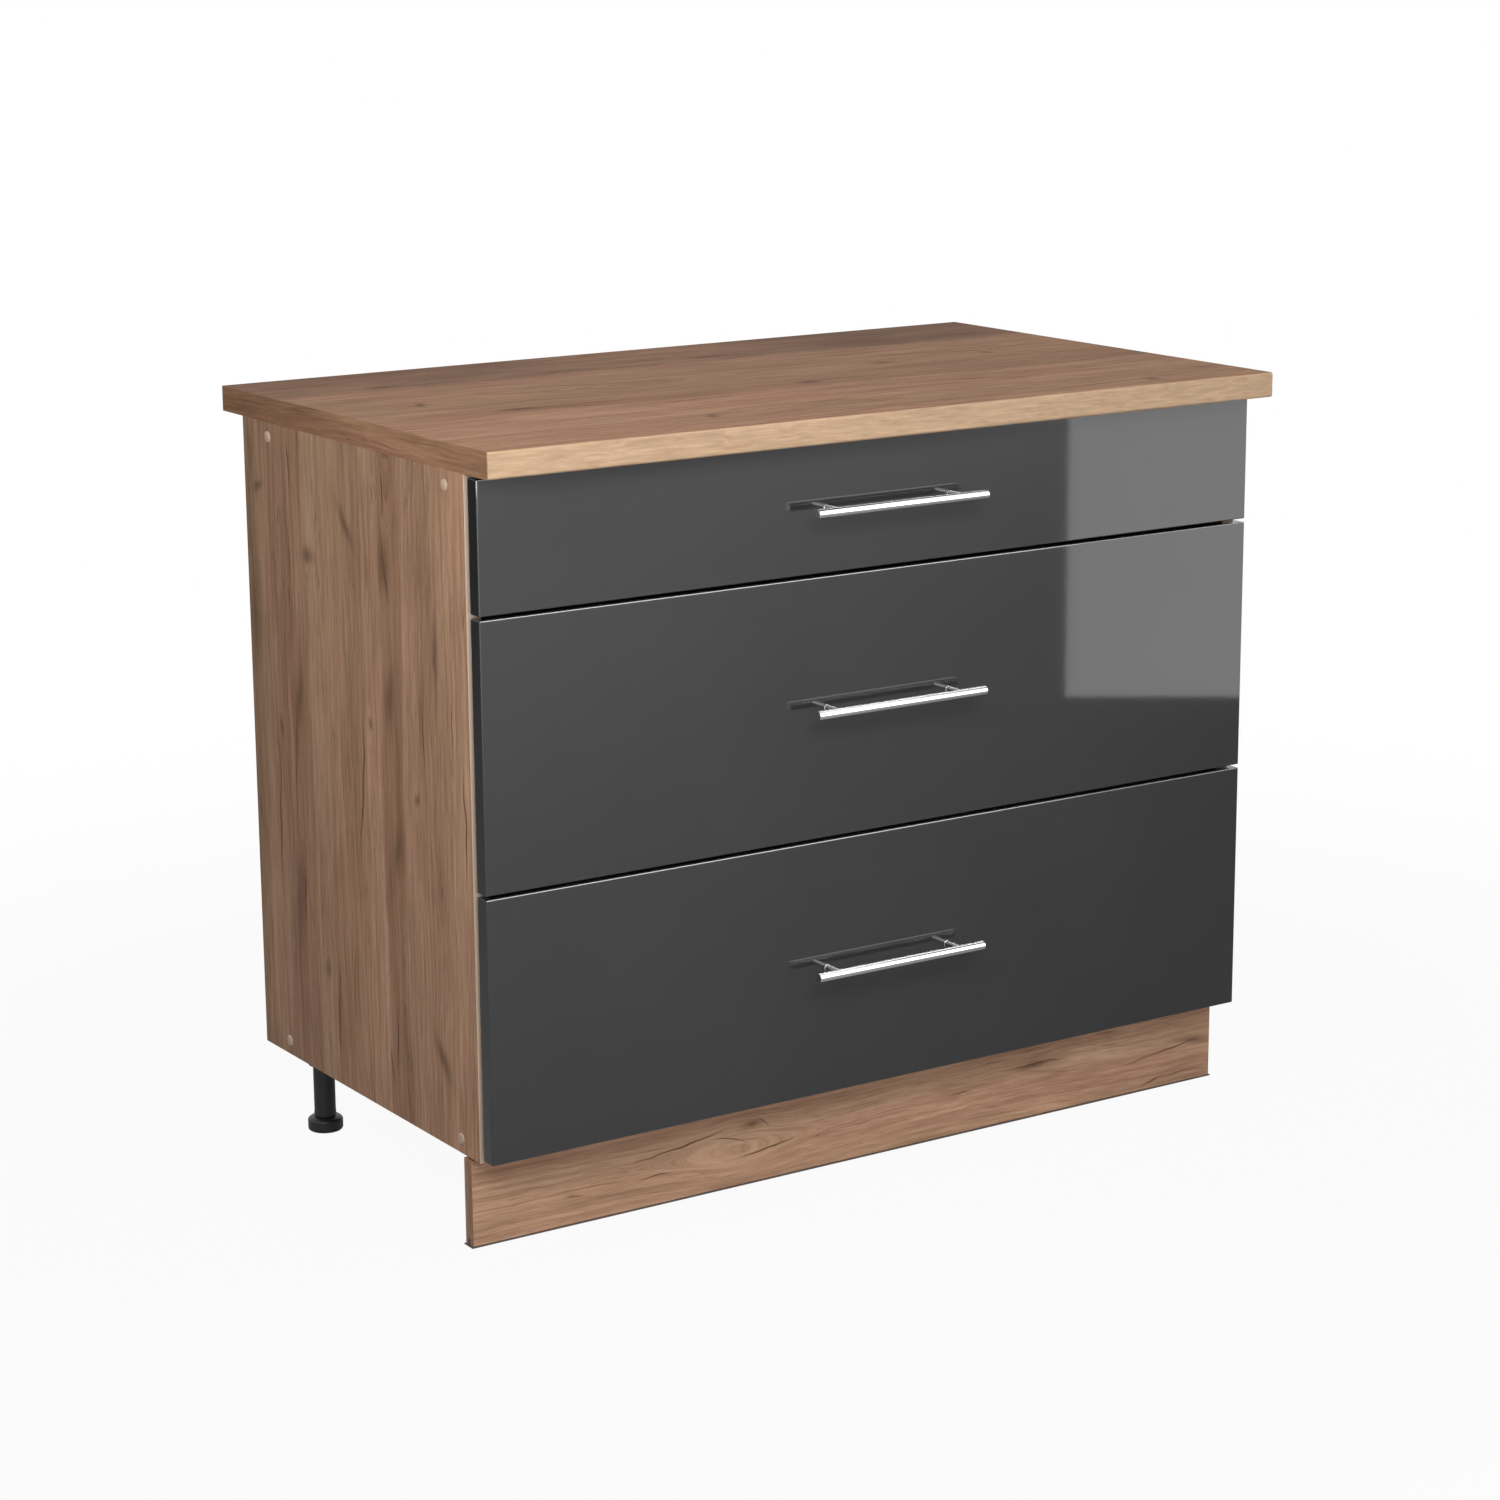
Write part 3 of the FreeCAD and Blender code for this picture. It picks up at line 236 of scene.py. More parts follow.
def oakLook(name, order, offset, strips=None, span=(-0.25, 0.25), knots=(), cracks=(), patches=(), wild=1.0,
            close=1.0, shade=None, gloss=1.26, ends=None, endToneAndLight=1.0, frontBand=None):
    # order is the letters of the axes across the grain, along it and through the board
    look = Look(name)
    across, along, depth = look.axes(order)
    if ends:  # at its two ends the board shows a strip whose grain runs across
        low, high = ends
        atEnd = abs(along - (low + high) / 2).above((high - low) / 2 - 0.0004)
        turned = look.node("ShaderNodeMix", {"data_type": "VECTOR"}, {
            0: atEnd, 4: look.vector(across, along, depth), 5: look.vector(depth, across, along)}, 1)
        split = look.node("ShaderNodeSeparateXYZ", None, {0: turned})
        across, along, depth = (split.other(axis) for axis in "XYZ")

    def stained(share, tone):
        return look.mix(share, colour, flat(*oak[tone]))

    x, y, z = offset
    sway = look.grain(across * 4 + x, along * 1.5 + y, depth * 4 + z, 1)
    ragged = look.grain(across * 30 + y, along * 16 + z, depth * 30 + x, 2)
    bent = across + (sway - 0.5) * oak["sway"] + (ragged - 0.5) * oak["ragged"]
    straight = bent
    if knots:
        bent = sideways(bent, along, knots)

    bands = look.grain(bent * (oak["wideBands"] * close) + x, along * 0.9 + y, depth * 9 + z, 2, 0.55)
    tint = look.grain(bent * (19 * close) + z, along * 1.3 + x, depth * 9 + y, 1)
    blotch = look.grain(bent * (38 * close) + y, along * 9 + x, depth * 30 + z, 3, 0.65)
    middle = look.grain(bent * (88 * close) + z, along * 3.2 + y, depth * 60 + x, 2, 0.6)
    streaks = look.grain(bent * oak["streaks"], along * 6 + y, depth * 120 + z, 4, 0.66)
    fibres = look.grain(bent * oak["fibres"], along * 26 + x, depth * 400, 2, 0.6)
    pores = look.grain(bent * oak["pores"], along * 45, depth * 500 + y, 1).rise(0.6, 0.72)
    tone = ((bands - 0.5) * (0.8 * wild) + (blotch - 0.5) * 0.5 + (middle - 0.5) * 0.45 + (streaks - 0.5) * 1.35
            + (fibres - 0.5) * 0.75 + 0.5)
    colour = look.ramp(tone, [(0.08, oak["dark"]), (0.5, oak["middle"]), (0.94, oak["light"])])
    hue = look.ramp(tint, [(0.36, oak["red"]), (0.64, oak["olive"])])
    colour = look.mix(0.32, colour, hue)
    if strips:
        # strips of tone, listed; each is (where it ends, its shade)
        place = (straight - span[0]) / (span[1] - span[0])
        stops, start = [], None
        for end, strip in strips:
            if start is not None:
                stops.append((start + 0.01, strip))
            start = (end - span[0]) / (span[1] - span[0])
            stops.append((min(start - 0.01, 1.0), strip))
        worn = look.grain(across * 5 + z, along * 2.6 + x, depth, 1).rise(0.25, 0.62)
        colour = look.mix(worn * 0.75 + 0.25, colour, look.ramp(place, stops), "MULTIPLY")
    colour = stained(pores * 0.3, "dark")

    # thin dark grain lines lie where a stretched noise crosses its middle
    course = look.grain(bent * 26 + y, along * 1.3 + z, depth * 15 + x, 2, 0.5)
    where = look.grain(across * 15 + z, along * 3.8 + y, depth * 13 + x, 1)
    line = 1 - abs(course - 0.5).rise(0.002, 0.016)
    grainLine = line * where.rise(0.47, 0.62) * streaks.rise(0.3, 0.55)
    colour = stained(grainLine * (0.42 * wild), "crack")
    # short dark flecks come in clusters
    cluster = look.grain(bent * 22 + z, along * 5 + y, depth * 20 + x, 2, 0.6).rise(0.52, 0.68)
    fleck = look.grain(bent * 330 + x, along * 34 + z, depth * 200 + y, 2, 0.6).rise(0.56, 0.7)
    colour = stained(cluster * fleck * (0.78 * wild), "crack")
    smudge = look.grain(bent * 44 + x, along * 8 + z, depth * 42, 3, 0.6).rise(0.64, 0.8)
    colour = stained(smudge * (0.34 * wild), "knot")
    height = streaks * 0.35 + fibres * 0.25 - pores * 0.4 - grainLine * 0.5
    wavy = across + (ragged - 0.5) * 0.012
    if cracks:
        crack = strongest([crackMask(wavy, along, each) for each in cracks]) * streaks.rise(0.22, 0.5)
        colour = stained(crack * 0.95, "crack")
        height = height - crack * 0.8
    if patches:
        dark = strongest([ovalMask(wavy, along, each) for each in patches])
        dark = dark * (fibres + blotch * 0.8).rise(0.42, 0.98)
        colour = stained(dark * 0.85, "knot")
        height = height - dark * 0.3
    # shade multiplies the whole colour: a tint, which on the worktop is partly painted shade and on the plinth
    # painted light
    if shade:
        colour = look.mix(1.0, colour, flat(*shade), "MULTIPLY")
    # the end faces' colour is multiplied: the worktop's ends are painted lighter, as painted light; the plinth's ends
    # are made darker
    if ends:
        colour = look.mix(atEnd, colour, flat(endToneAndLight, endToneAndLight, endToneAndLight), "MULTIPLY")
    if frontBand is not None:  # pale edging in front, with a fine short grain of its own; it is paler partly as painted light for the front face's brighter lighting
        edgingAndLight = look.ramp(streaks * 0.45 + fibres * 0.55, [
            (0.26, tuple(c * 0.66 for c in oak["band"])), (0.74, tuple(c * 1.16 for c in oak["band"]))])
        edgingAndLight = look.mix(fleck * 0.35, edgingAndLight, flat(*oak["middle"]))
        front = 1 - look.axes()[1].rise(frontBand + 0.001, frontBand + 0.0026)
        colour = look.mix(front, colour, edgingAndLight)
    roughness = 0.56 - (streaks - 0.5) * 0.12 + grainLine * 0.2
    return look.surface({"Base Color": colour, "Roughness": roughness, "IOR": gloss}, height, oak["relief"])


worktopBox, plinthBox, sideBox = (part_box(name) for name in ("worktop", "plinth", "side_panel_left"))
sideSpan = (sideBox[0].y, sideBox[1].y)

# marks listed across and along the grain in metres. A strip has its end and shade, a knot its place and
# size, a crack its start, end, width and bow, a patch its place, half width, half length and lean in degrees.
sideStrips = [(-0.183, (1.1, 1.06, 1.04)), (-0.144, (0.94, 0.93, 0.9)), (-0.107, (1.06, 1.02, 1.06)),
              (-0.06, (0.8, 0.74, 0.7)), (-0.017, (1.13, 1.13, 1.14)), (0.026, (0.95, 0.94, 0.89)),
              (0.066, (1.04, 1.03, 0.98)), (0.112, (1.05, 1.07, 1.07)), (0.15, (0.84, 0.8, 0.78)),
              (0.199, (0.82, 0.77, 0.76)), (0.226, (0.92, 0.93, 0.92)), (0.26, (0.77, 0.76, 0.74))]
sideKnots = [(0.22, 0.748, 0.006), (-0.032, 0.526, 0.005), (-0.132, 0.464, 0.005), (0.089, 0.229, 0.005),
             (0.106, 0.673, 0.006), (-0.085, 0.801, 0.014), (0.182, 0.482, 0.005)]
sideCracks = [((-0.069, 0.812), (-0.066, 0.742), 0.003, -0.004), ((-0.064, 0.755), (-0.086, 0.648), 0.0034, 0.003),
              ((-0.016, 0.56), (0.004, 0.355), 0.0036, -0.004), ((0.06, 0.262), (0.065, 0.108), 0.0036, 0.001),
              ((0.02, 0.29), (0.024, 0.15), 0.0018, 0.002), ((-0.072, 0.242), (-0.073, 0.135), 0.0024, 0.0),
              ((0.142, 0.56), (0.15, 0.356), 0.0026, 0.002), ((-0.234, 0.53), (-0.236, 0.366), 0.0024, 0.001),
              ((-0.146, 0.59), (-0.15, 0.486), 0.002, 0.0), ((0.182, 0.49), (0.198, 0.26), 0.0024, 0.003),
              ((-0.212, 0.61), (-0.208, 0.5), 0.0018, 0.0), ((0.139, 0.35), (0.144, 0.25), 0.003, -0.002),
              ((0.15, 0.816), (0.14, 0.74), 0.0022, 0.0), ((-0.058, 0.18), (-0.062, 0.125), 0.002, 0.0)]
sidePatches = [(0.012, 0.73, 0.007, 0.03, -38), (-0.174, 0.192, 0.008, 0.028, -36), (0.221, 0.747, 0.005, 0.012, 70),
               (-0.032, 0.526, 0.004, 0.006, 0), (-0.132, 0.464, 0.004, 0.007, 20), (0.089, 0.227, 0.005, 0.009, 0),
               (0.104, 0.686, 0.014, 0.008, 0), (-0.076, 0.56, 0.01, 0.04, 5), (-0.086, 0.4, 0.009, 0.03, 12),
               (0.136, 0.52, 0.008, 0.04, 8), (0.238, 0.6, 0.012, 0.05, 0), (-0.176, 0.625, 0.006, 0.04, 0),
               (0.182, 0.482, 0.005, 0.014, 0), (-0.07, 0.7, 0.012, 0.03, 0), (0.15, 0.29, 0.01, 0.06, 6)]
rightStrips = [(-end - 0.03, shade) for end, shade in reversed(sideStrips)]

# the last strip, at the back of the top, is painted shade: it darkens the top towards the back
topStrips = [(-0.27, (1.1, 1.08, 1.05)), (-0.2, (0.97, 0.96, 0.95)), (-0.086, (1.1, 1.1, 1.1)),
             (-0.05, (0.86, 0.84, 0.82)), (0.028, (0.96, 0.95, 0.93)), (0.094, (1.03, 1.04, 0.98)),
             (0.16, (1.05, 1.05, 1.05)), (0.34, (0.59, 0.565, 0.555))]
topKnots = [(0.034, -0.4, 0.007), (-0.216, -0.19, 0.006), (0.045, -0.15, 0.03), (-0.06, 0.038, 0.007)]
topCracks = [((0.102, -0.32), (0.018, -0.04), 0.0022, 0.012), ((0.062, -0.33), (0.01, -0.12), 0.0018, 0.008),
             ((-0.062, -0.33), (-0.08, -0.2), 0.003, 0.0), ((-0.13, 0.12), (-0.16, 0.28), 0.003, 0.006),
             ((-0.205, -0.13), (-0.228, 0.11), 0.0022, -0.004), ((0.17, 0.05), (0.176, 0.16), 0.003, 0.0),
             ((0.07, 0.26), (0.03, 0.42), 0.0026, 0.01), ((-0.262, 0.18), (-0.255, 0.42), 0.0024, 0.0)]
topPatches = [(0.034, -0.4, 0.012, 0.006, 30), (-0.216, -0.19, 0.012, 0.006, 30), (0.032, 0.202, 0.012, 0.014, 20),
              (0.036, 0.354, 0.008, 0.008, 0), (-0.058, 0.04, 0.008, 0.012, 0), (-0.26, 0.363, 0.009, 0.008, 0),
              (-0.055, -0.33, 0.01, 0.03, 0), (0.185, -0.365, 0.01, 0.02, 0), (0.195, 0.07, 0.01, 0.03, 0)]

plinthKnots = [(0.05, -0.175, 0.019), (0.047, 0.118, 0.004)]
plinthCracks = [((0.053, -0.33), (0.076, -0.165), 0.0018, -0.003), ((0.036, -0.19), (0.048, -0.08), 0.002, -0.004),
                ((0.064, 0.18), (0.063, 0.292), 0.0018, 0.002), ((0.05, 0.105), (0.05, 0.15), 0.0014, 0.0),
                ((0.036, 0.345), (0.054, 0.5), 0.002, -0.001), ((0.006, 0.385), (0.018, 0.435), 0.002, 0.0),
                ((0.034, -0.31), (0.036, -0.25), 0.0012, 0.0), ((0.06, -0.215), (0.044, -0.15), 0.0014, 0.008),
                ((0.074, -0.15), (0.058, -0.13), 0.0016, 0.004), ((0.01, 0.41), (0.012, 0.496), 0.0016, 0.002)]
plinthPatches = [(0.07, -0.155, 0.004, 0.012, 0), (0.05, 0.47, 0.004, 0.03, 10), (0.064, 0.235, 0.003, 0.03, 0)]

materials = {
    "oakSide": oakLook("oakSide", "YZX", (3.1, 7.4, 1.9), sideStrips, sideSpan, sideKnots, sideCracks,
                       sidePatches, 0.8),
    "oakSideRight": oakLook("oakSideRight", "YZX", (8.3, 2.2, 5.0), rightStrips, sideSpan, sideKnots[1:4],
                            sideCracks[7:10], sidePatches[1:2]),
    "oakBoard": oakLook("oakBoard", "YXZ", (5.7, 1.3, 8.1)),
    # the worktop's shade is a redder tint, partly its own colour and partly painted shade that darkens its brightly
    # lit top
    "oakWorktop": oakLook("oakWorktop", "YXZ", (2.6, 9.2, 4.4), topStrips, (worktopBox[0].y, worktopBox[1].y),
                          topKnots, topCracks, topPatches, 0.6, gloss=1.1, shade=(0.89, 0.83, 0.79),
                          ends=(worktopBox[0].x, worktopBox[1].x), endToneAndLight=1.42, frontBand=worktopBox[0].y),
    # the plinth is the same oak made lighter by its shade, as painted light; its ends are made darker
    "oakPlinth": oakLook("oakPlinth", "ZXY", (6.5, 3.8, 2.7), None, knots=plinthKnots, cracks=plinthCracks,
                         patches=plinthPatches, wild=0.7, close=1.7, shade=(1.15, 1.14, 1.14),
                         ends=(plinthBox[0].x, plinthBox[1].x), endToneAndLight=0.85),
}


def bandLook():
    # pale edging on the panels' front edges
    look = Look("oakBand")
    across, along, depth = look.axes("XZY")
    streaks = look.grain(across * 420, along * 9, depth * 200, 3, 0.6)
    cloud = look.grain(across * 30, along * 3, depth * 30, 2)
    shade = look.ramp(streaks * 0.6 + cloud * 0.4, [(0.3, (0.5, 0.375, 0.285)), (0.7, (0.7, 0.545, 0.43))])
    return look.surface({"Base Color": shade, "Roughness": 0.45 + streaks * 0.1, "IOR": 1.35}, streaks, 0.00005)


materials["oakBand"] = bandLook()

print("materials: foil, metals and plastics")


def foilLook():
    # glossy foil in front and round the edges, with the left and right side faces painted darker as painted shade,
    # plain matt sheet behind
    look = Look("anthraciteGloss")
    across, back = look.axes("XY")
    low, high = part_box("top_drawer_front")
    rear = back.above(high.y - 0.0006)
    # the front's left and right side faces, painted darker below: painted shade
    side = abs(across - (low.x + high.x) / 2).above((high.x - low.x) / 2 - 0.0005)
    cloud = look.noise(look.place, 6, 2)
    speck = look.noise(look.place, 1600, 1)
    grey = look.ramp(cloud, [(0.3, (0.0205, 0.0207, 0.0211)), (0.7, (0.023, 0.0232, 0.0236))])
    grey = look.mix(side, grey, flat(0.009, 0.009, 0.0095))
    colour = look.mix(rear, grey, flat(0.055, 0.056, 0.057))
    roughness = 0.035 + speck * 0.012 + rear * 0.45
    return look.surface({"Base Color": colour, "Roughness": roughness, "IOR": 1.5},
                        look.noise(look.place, 140, 1) + rear * speck * 3, 0.0000045)


def chromeLook(name, colour, order, roughness):
    # polished, with the faint lines of drawing along the bar
    look = Look(name)
    across, along, depth = look.axes(order)
    lines = look.grain(across * 2400, along * 30, depth * 2400, 2)
    haze = look.noise(look.place, 60, 2)
    shine = look.mix(haze, flat(*(c * 0.96 for c in colour)), flat(*colour))
    return look.surface({"Base Color": shine, "Metallic": 1.0,
                         "Roughness": roughness + (lines - 0.5) * 0.05 + haze * 0.03}, lines, 0.000004)


def mouldedLook(name, colour, roughness, grain=1500, depth=0.00003):
    # plastic from a mould: fine even texture and a slightly cloudy colour
    look = Look(name)
    cloud = look.noise(look.place, 35, 3)
    texture = look.noise(look.place, grain, 2, 0.6)
    shade = look.ramp(cloud, [(0.3, tuple(c * 0.86 for c in colour)), (0.7, tuple(c * 1.12 for c in colour))])
    return look.surface({"Base Color": shade, "Roughness": roughness + (texture - 0.5) * 0.12, "IOR": 1.46},
                        texture, depth)


def coatedSteelLook():
    # powder coating: orange peel, a little darker in random clouds
    look = Look("coatedSteel")
    peel = look.noise(look.place, 700, 2)
    cloud = look.noise(look.place, 9, 3)
    shade = look.ramp(cloud, [(0.3, (0.5, 0.51, 0.52)), (0.7, (0.57, 0.58, 0.59))])
    return look.surface({"Base Color": shade, "Roughness": 0.38 + (cloud - 0.5) * 0.2}, peel, 0.00005)


def zincLook():
    # zinc plate: metal with a blotchy crystal shine
    look = Look("zincSteel")
    crystals = look.node("ShaderNodeTexVoronoi", {"feature": "F1"}, {"Vector": look.place, "Scale": 420.0}, 1)
    blotch = look.node("ShaderNodeSeparateColor", None, {0: crystals})
    wear = look.noise(look.place, 90, 3)
    shade = look.ramp(blotch * 0.6 + wear * 0.4, [(0.2, (0.5, 0.5, 0.48)), (0.8, (0.68, 0.68, 0.66))])
    return look.surface({"Base Color": shade, "Metallic": 1.0, "Roughness": 0.27 + wear * 0.16}, wear, 0.00002)


def melamineLook():
    # light grey board of the drawer boxes, with a fine pearled face
    look = Look("greyMelamine")
    pearl = look.noise(look.place, 900, 2, 0.6)
    cloud = look.noise(look.place, 14, 2)
    shade = look.ramp(cloud, [(0.3, (0.66, 0.67, 0.67)), (0.7, (0.72, 0.73, 0.73))])
    shade = look.mix(pearl.rise(0.58, 0.75) * 0.12, shade, flat(0.45, 0.46, 0.46))
    return look.surface({"Base Color": shade, "Roughness": 0.5 + (pearl - 0.5) * 0.15}, pearl, 0.00004)


def hardboardLook():
    # white lacquer inside, bare brown fibres behind
    look = Look("hardboard")
    across, back, up = look.axes()
    low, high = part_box("back_panel")
    rear = back.above(high.y - 0.0004)
    fibres = look.grain(across * 260, back * 260, up * 180, 5, 0.7)
    cloud = look.noise(look.place, 7, 3)
    brown = look.ramp(fibres * 0.85 + cloud * 0.15, [(0.3, (0.13, 0.075, 0.042)), (0.55, (0.24, 0.15, 0.09)),
                                                   (0.75, (0.34, 0.225, 0.14))])
    white = look.ramp(cloud, [(0.3, (0.74, 0.74, 0.72)), (0.7, (0.79, 0.79, 0.77))])
    return look.surface({"Base Color": look.mix(rear, white, brown), "Roughness": 0.42 + rear * 0.36},
                        fibres * (rear + 0.15), 0.00012)


materials.update({
    "gloss": foilLook(),
    "chrome": chromeLook("chrome", (0.56, 0.56, 0.57), "YXZ", 0.06),
    "rail": mouldedLook("railPaint", (0.5, 0.51, 0.52), 0.35, 700, 0.00004),
    "black": mouldedLook("blackPlastic", (0.0125, 0.0125, 0.0125), 0.42),
    "grey": mouldedLook("greyPlastic", (0.46, 0.47, 0.48), 0.42),
    "roller": mouldedLook("rollerPlastic", (0.8, 0.8, 0.78), 0.33, 900, 0.00002),
    "seal": mouldedLook("sealPlastic", (0.085, 0.07, 0.062), 0.48),
    "cap": mouldedLook("capPlastic", (0.5, 0.35, 0.255), 0.38),
    "steel": coatedSteelLook(),
    "zinc": zincLook(),
    "melamine": melamineLook(),
    "hardboard": hardboardLook(),
})


def block(low, high):
    shape = bmesh.new()
    size = Vector(high) - Vector(low)
    bmesh.ops.create_cube(shape, size=1.0)
    bmesh.ops.scale(shape, verts=shape.verts, vec=size)
    bmesh.ops.translate(shape, verts=shape.verts, vec=(Vector(low) + Vector(high)) / 2)
    return shape


def rounded(shape, edges, radius, segments, clamped=True):
    bmesh.ops.bevel(shape, geom=list(edges), offset=radius, offset_type="OFFSET", segments=segments,
                    profile=0.5, affect="EDGES", material=-1, clamp_overlap=clamped)


def sharpEdges(shape, degrees=35):
    return [edge for edge in shape.edges
            if len(edge.link_faces) == 2 and edge.calc_face_angle() > math.radians(degrees)]


def atPlane(edges, axis, at):
    return [edge for edge in edges if all(abs(vert.co[axis] - at) < 1e-5 for vert in edge.verts)]


def runOf(edge, axis):
    return abs(edge.verts[0].co[axis] - edge.verts[1].co[axis])


def turnOf(face, steps):
    # which of the steps about Z a face of a turned shape is in
    middle = face.calc_center_median()
    return round(math.atan2(middle.y, middle.x) / math.tau * steps - 0.5)


def grownVerts(grown):
    return [item for item in grown["geom"] if isinstance(item, bmesh.types.BMVert)]


def drawnOut(shape, faces):
    # extrudes faces, drops the old ones and gives the new vertices
    made = grownVerts(bmesh.ops.extrude_face_region(shape, geom=faces))
    bmesh.ops.delete(shape, geom=faces, context="FACES")
    return made


def welded(node):
    # a copy of a CAD node's mesh with its doubles merged
    shape = bmesh.new()
    shape.from_mesh(frame["nodes"][node].data)
    bmesh.ops.remove_doubles(shape, verts=shape.verts, dist=2e-6)
    return shape


def turnedShape(profile, steps=48):
    # a profile of radius and height, turned about Z
    shape = bmesh.new()
    points = [shape.verts.new((radius, 0, height)) for radius, height in profile]
    lines = [shape.edges.new(pair) for pair in zip(points, points[1:])]
    bmesh.ops.spin(shape, geom=points + lines, cent=(0, 0, 0), axis=(0, 0, 1), angle=math.tau,
                   steps=steps, use_merge=True)
    bmesh.ops.remove_doubles(shape, verts=shape.verts, dist=1e-6)
    bmesh.ops.recalc_face_normals(shape, faces=shape.faces)
    return shape


def pointed(direction):
    # turns Z to a direction
    return Vector(direction).to_track_quat("Z", "Y").to_matrix().to_4x4()


def moved(shape, place, direction=(0, 0, 1)):
    bmesh.ops.transform(shape, matrix=Matrix.Translation(Vector(place)) @ pointed(direction), verts=shape.verts)
    return shape


def asMesh(name, shape):
    mesh = bpy.data.meshes.new(name)
    shape.to_mesh(mesh)
    shape.free()
    return mesh


def placed(name, data):
    made = bpy.data.objects.new(name, data)
    bpy.context.scene.collection.objects.link(made)
    return made


def joined(shapes):
    whole = bmesh.new()
    for shape in shapes:
        mesh = asMesh("part", shape)
        whole.from_mesh(mesh)
        bpy.data.meshes.remove(mesh)
    return whole


pieces = {}


def piece(node, shape, material, smooth=38):
    # the finished object that stands for a CAD node, with that node's body and finish
    first, *others = node.split("_")
    name = first + "".join(word.capitalize() for word in others or ["board"])
    mesh = asMesh(name, shape)
    mesh.materials.append(materials[material])
    mesh.polygons.foreach_set("use_smooth", [True] * len(mesh.polygons))
    mesh.set_sharp_from_angle(angle=math.radians(smooth))
    made = placed(name, mesh)
    weighted = made.modifiers.new("weighted", "WEIGHTED_NORMAL")
    weighted.keep_sharp = True
    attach(made, bodyOf[node])
    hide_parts(node)
    pieces[node] = made


drawerNames = ("top_drawer", "middle_drawer", "bottom_drawer")

front = {"edge": 0.003, "corner": 0.0012, "rearEdge": 0.0005, "segments": 6}


def makeFront(drawer):
    low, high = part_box(f"{drawer}_front")
    shape = block(low, high)
    rounded(shape, [edge for edge in shape.edges if runOf(edge, 1) > 0.01], front["corner"], 3)
    rounded(shape, atPlane(sharpEdges(shape), 1, low.y), front["edge"], front["segments"])
    rounded(shape, atPlane(sharpEdges(shape), 1, high.y), front["rearEdge"], 2)
    piece(f"{drawer}_front", shape, "gloss")


handle = {"endRing": 0.0012, "rim": 0.0007, "steps": 64, "postCollar": 0.0012, "postStep": 0.0004, "postRim": 0.0004,
          "postSteps": 40}


def makeHandle(drawer):
    low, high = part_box(f"{drawer}_handle_bar")
    centre = (low + high) / 2
    radius = (high.z - low.z) / 2
    length = high.x - low.x
    ring = radius - handle["endRing"]
    bar = turnedShape([(0, 0), (ring, 0), (radius, 0), (radius, length), (ring, length), (0, length)],
                      handle["steps"])
    rounded(bar, sharpEdges(bar), handle["rim"], 3)
    moved(bar, (low.x, centre.y, centre.z), (1, 0, 0))
    piece(f"{drawer}_handle_bar", bar, "chrome")

    low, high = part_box(f"{drawer}_handle_posts")
    postRadius = (high.z - low.z) / 2
    reach = high.y - low.y
    collar, neck = handle["postCollar"], postRadius - handle["postStep"]
    posts = []
    for x in (low.x + postRadius, high.x - postRadius):
        post = turnedShape([(0, 0), (postRadius, 0), (postRadius, collar), (neck, collar + handle["postStep"]),
                            (neck, reach), (0, reach)], handle["postSteps"])
        rounded(post, sharpEdges(post, 60), handle["postRim"], 2)
        posts.append(moved(post, (x, high.y, (low.z + high.z) / 2), (0, -1, 0)))
    piece(f"{drawer}_handle_posts", joined(posts), "chrome")


for drawer in drawerNames:
    makeFront(drawer)
    makeHandle(drawer)
print("drawer fronts and handles made")


worktop = {"frontEdge": 0.003, "otherEdge": 0.0005, "segments": 6}


def makeWorktop():
    low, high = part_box("worktop")
    shape = block(low, high)
    frontEdges = [edge for edge in atPlane(shape.edges, 1, low.y) if runOf(edge, 0) > 0.5]
    rounded(shape, frontEdges, worktop["frontEdge"], worktop["segments"])
    rounded(shape, sharpEdges(shape, 50), worktop["otherEdge"], 2)
    piece("worktop", shape, "oakWorktop")


makeWorktop()

cap = {"profile": [(0, 0.002), (0.0026, 0.00195), (0.0044, 0.0017), (0.0055, 0.0012), (0.0061, 0.0007),
                   (0.0064, 0.00025), (0.0065, 0), (0, 0)], "radius": 0.0065, "steps": 40}


def makeCaps():
    low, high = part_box("screw_caps")
    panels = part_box("side_panel_left")[0].x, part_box("side_panel_right")[1].x
    radius = cap["radius"]
    caps = []
    for y in (low.y + radius, high.y - radius):
        for z in (low.z + radius, high.z - radius):
            for x, direction in zip(panels, ((-1, 0, 0), (1, 0, 0))):
                caps.append(moved(turnedShape(cap["profile"], cap["steps"]), (x, y, z), direction))
    piece("screw_caps", joined(caps), "cap", 60)


makeCaps()

foot = {"radius": 0.02, "height": 0.016, "shoulder": 0.0032, "spigot": 0.0089, "root": 0.0079, "pitch": 0.003,
        "threadSteps": 24, "notches": 8, "notchDepth": 0.003, "steps": 64}


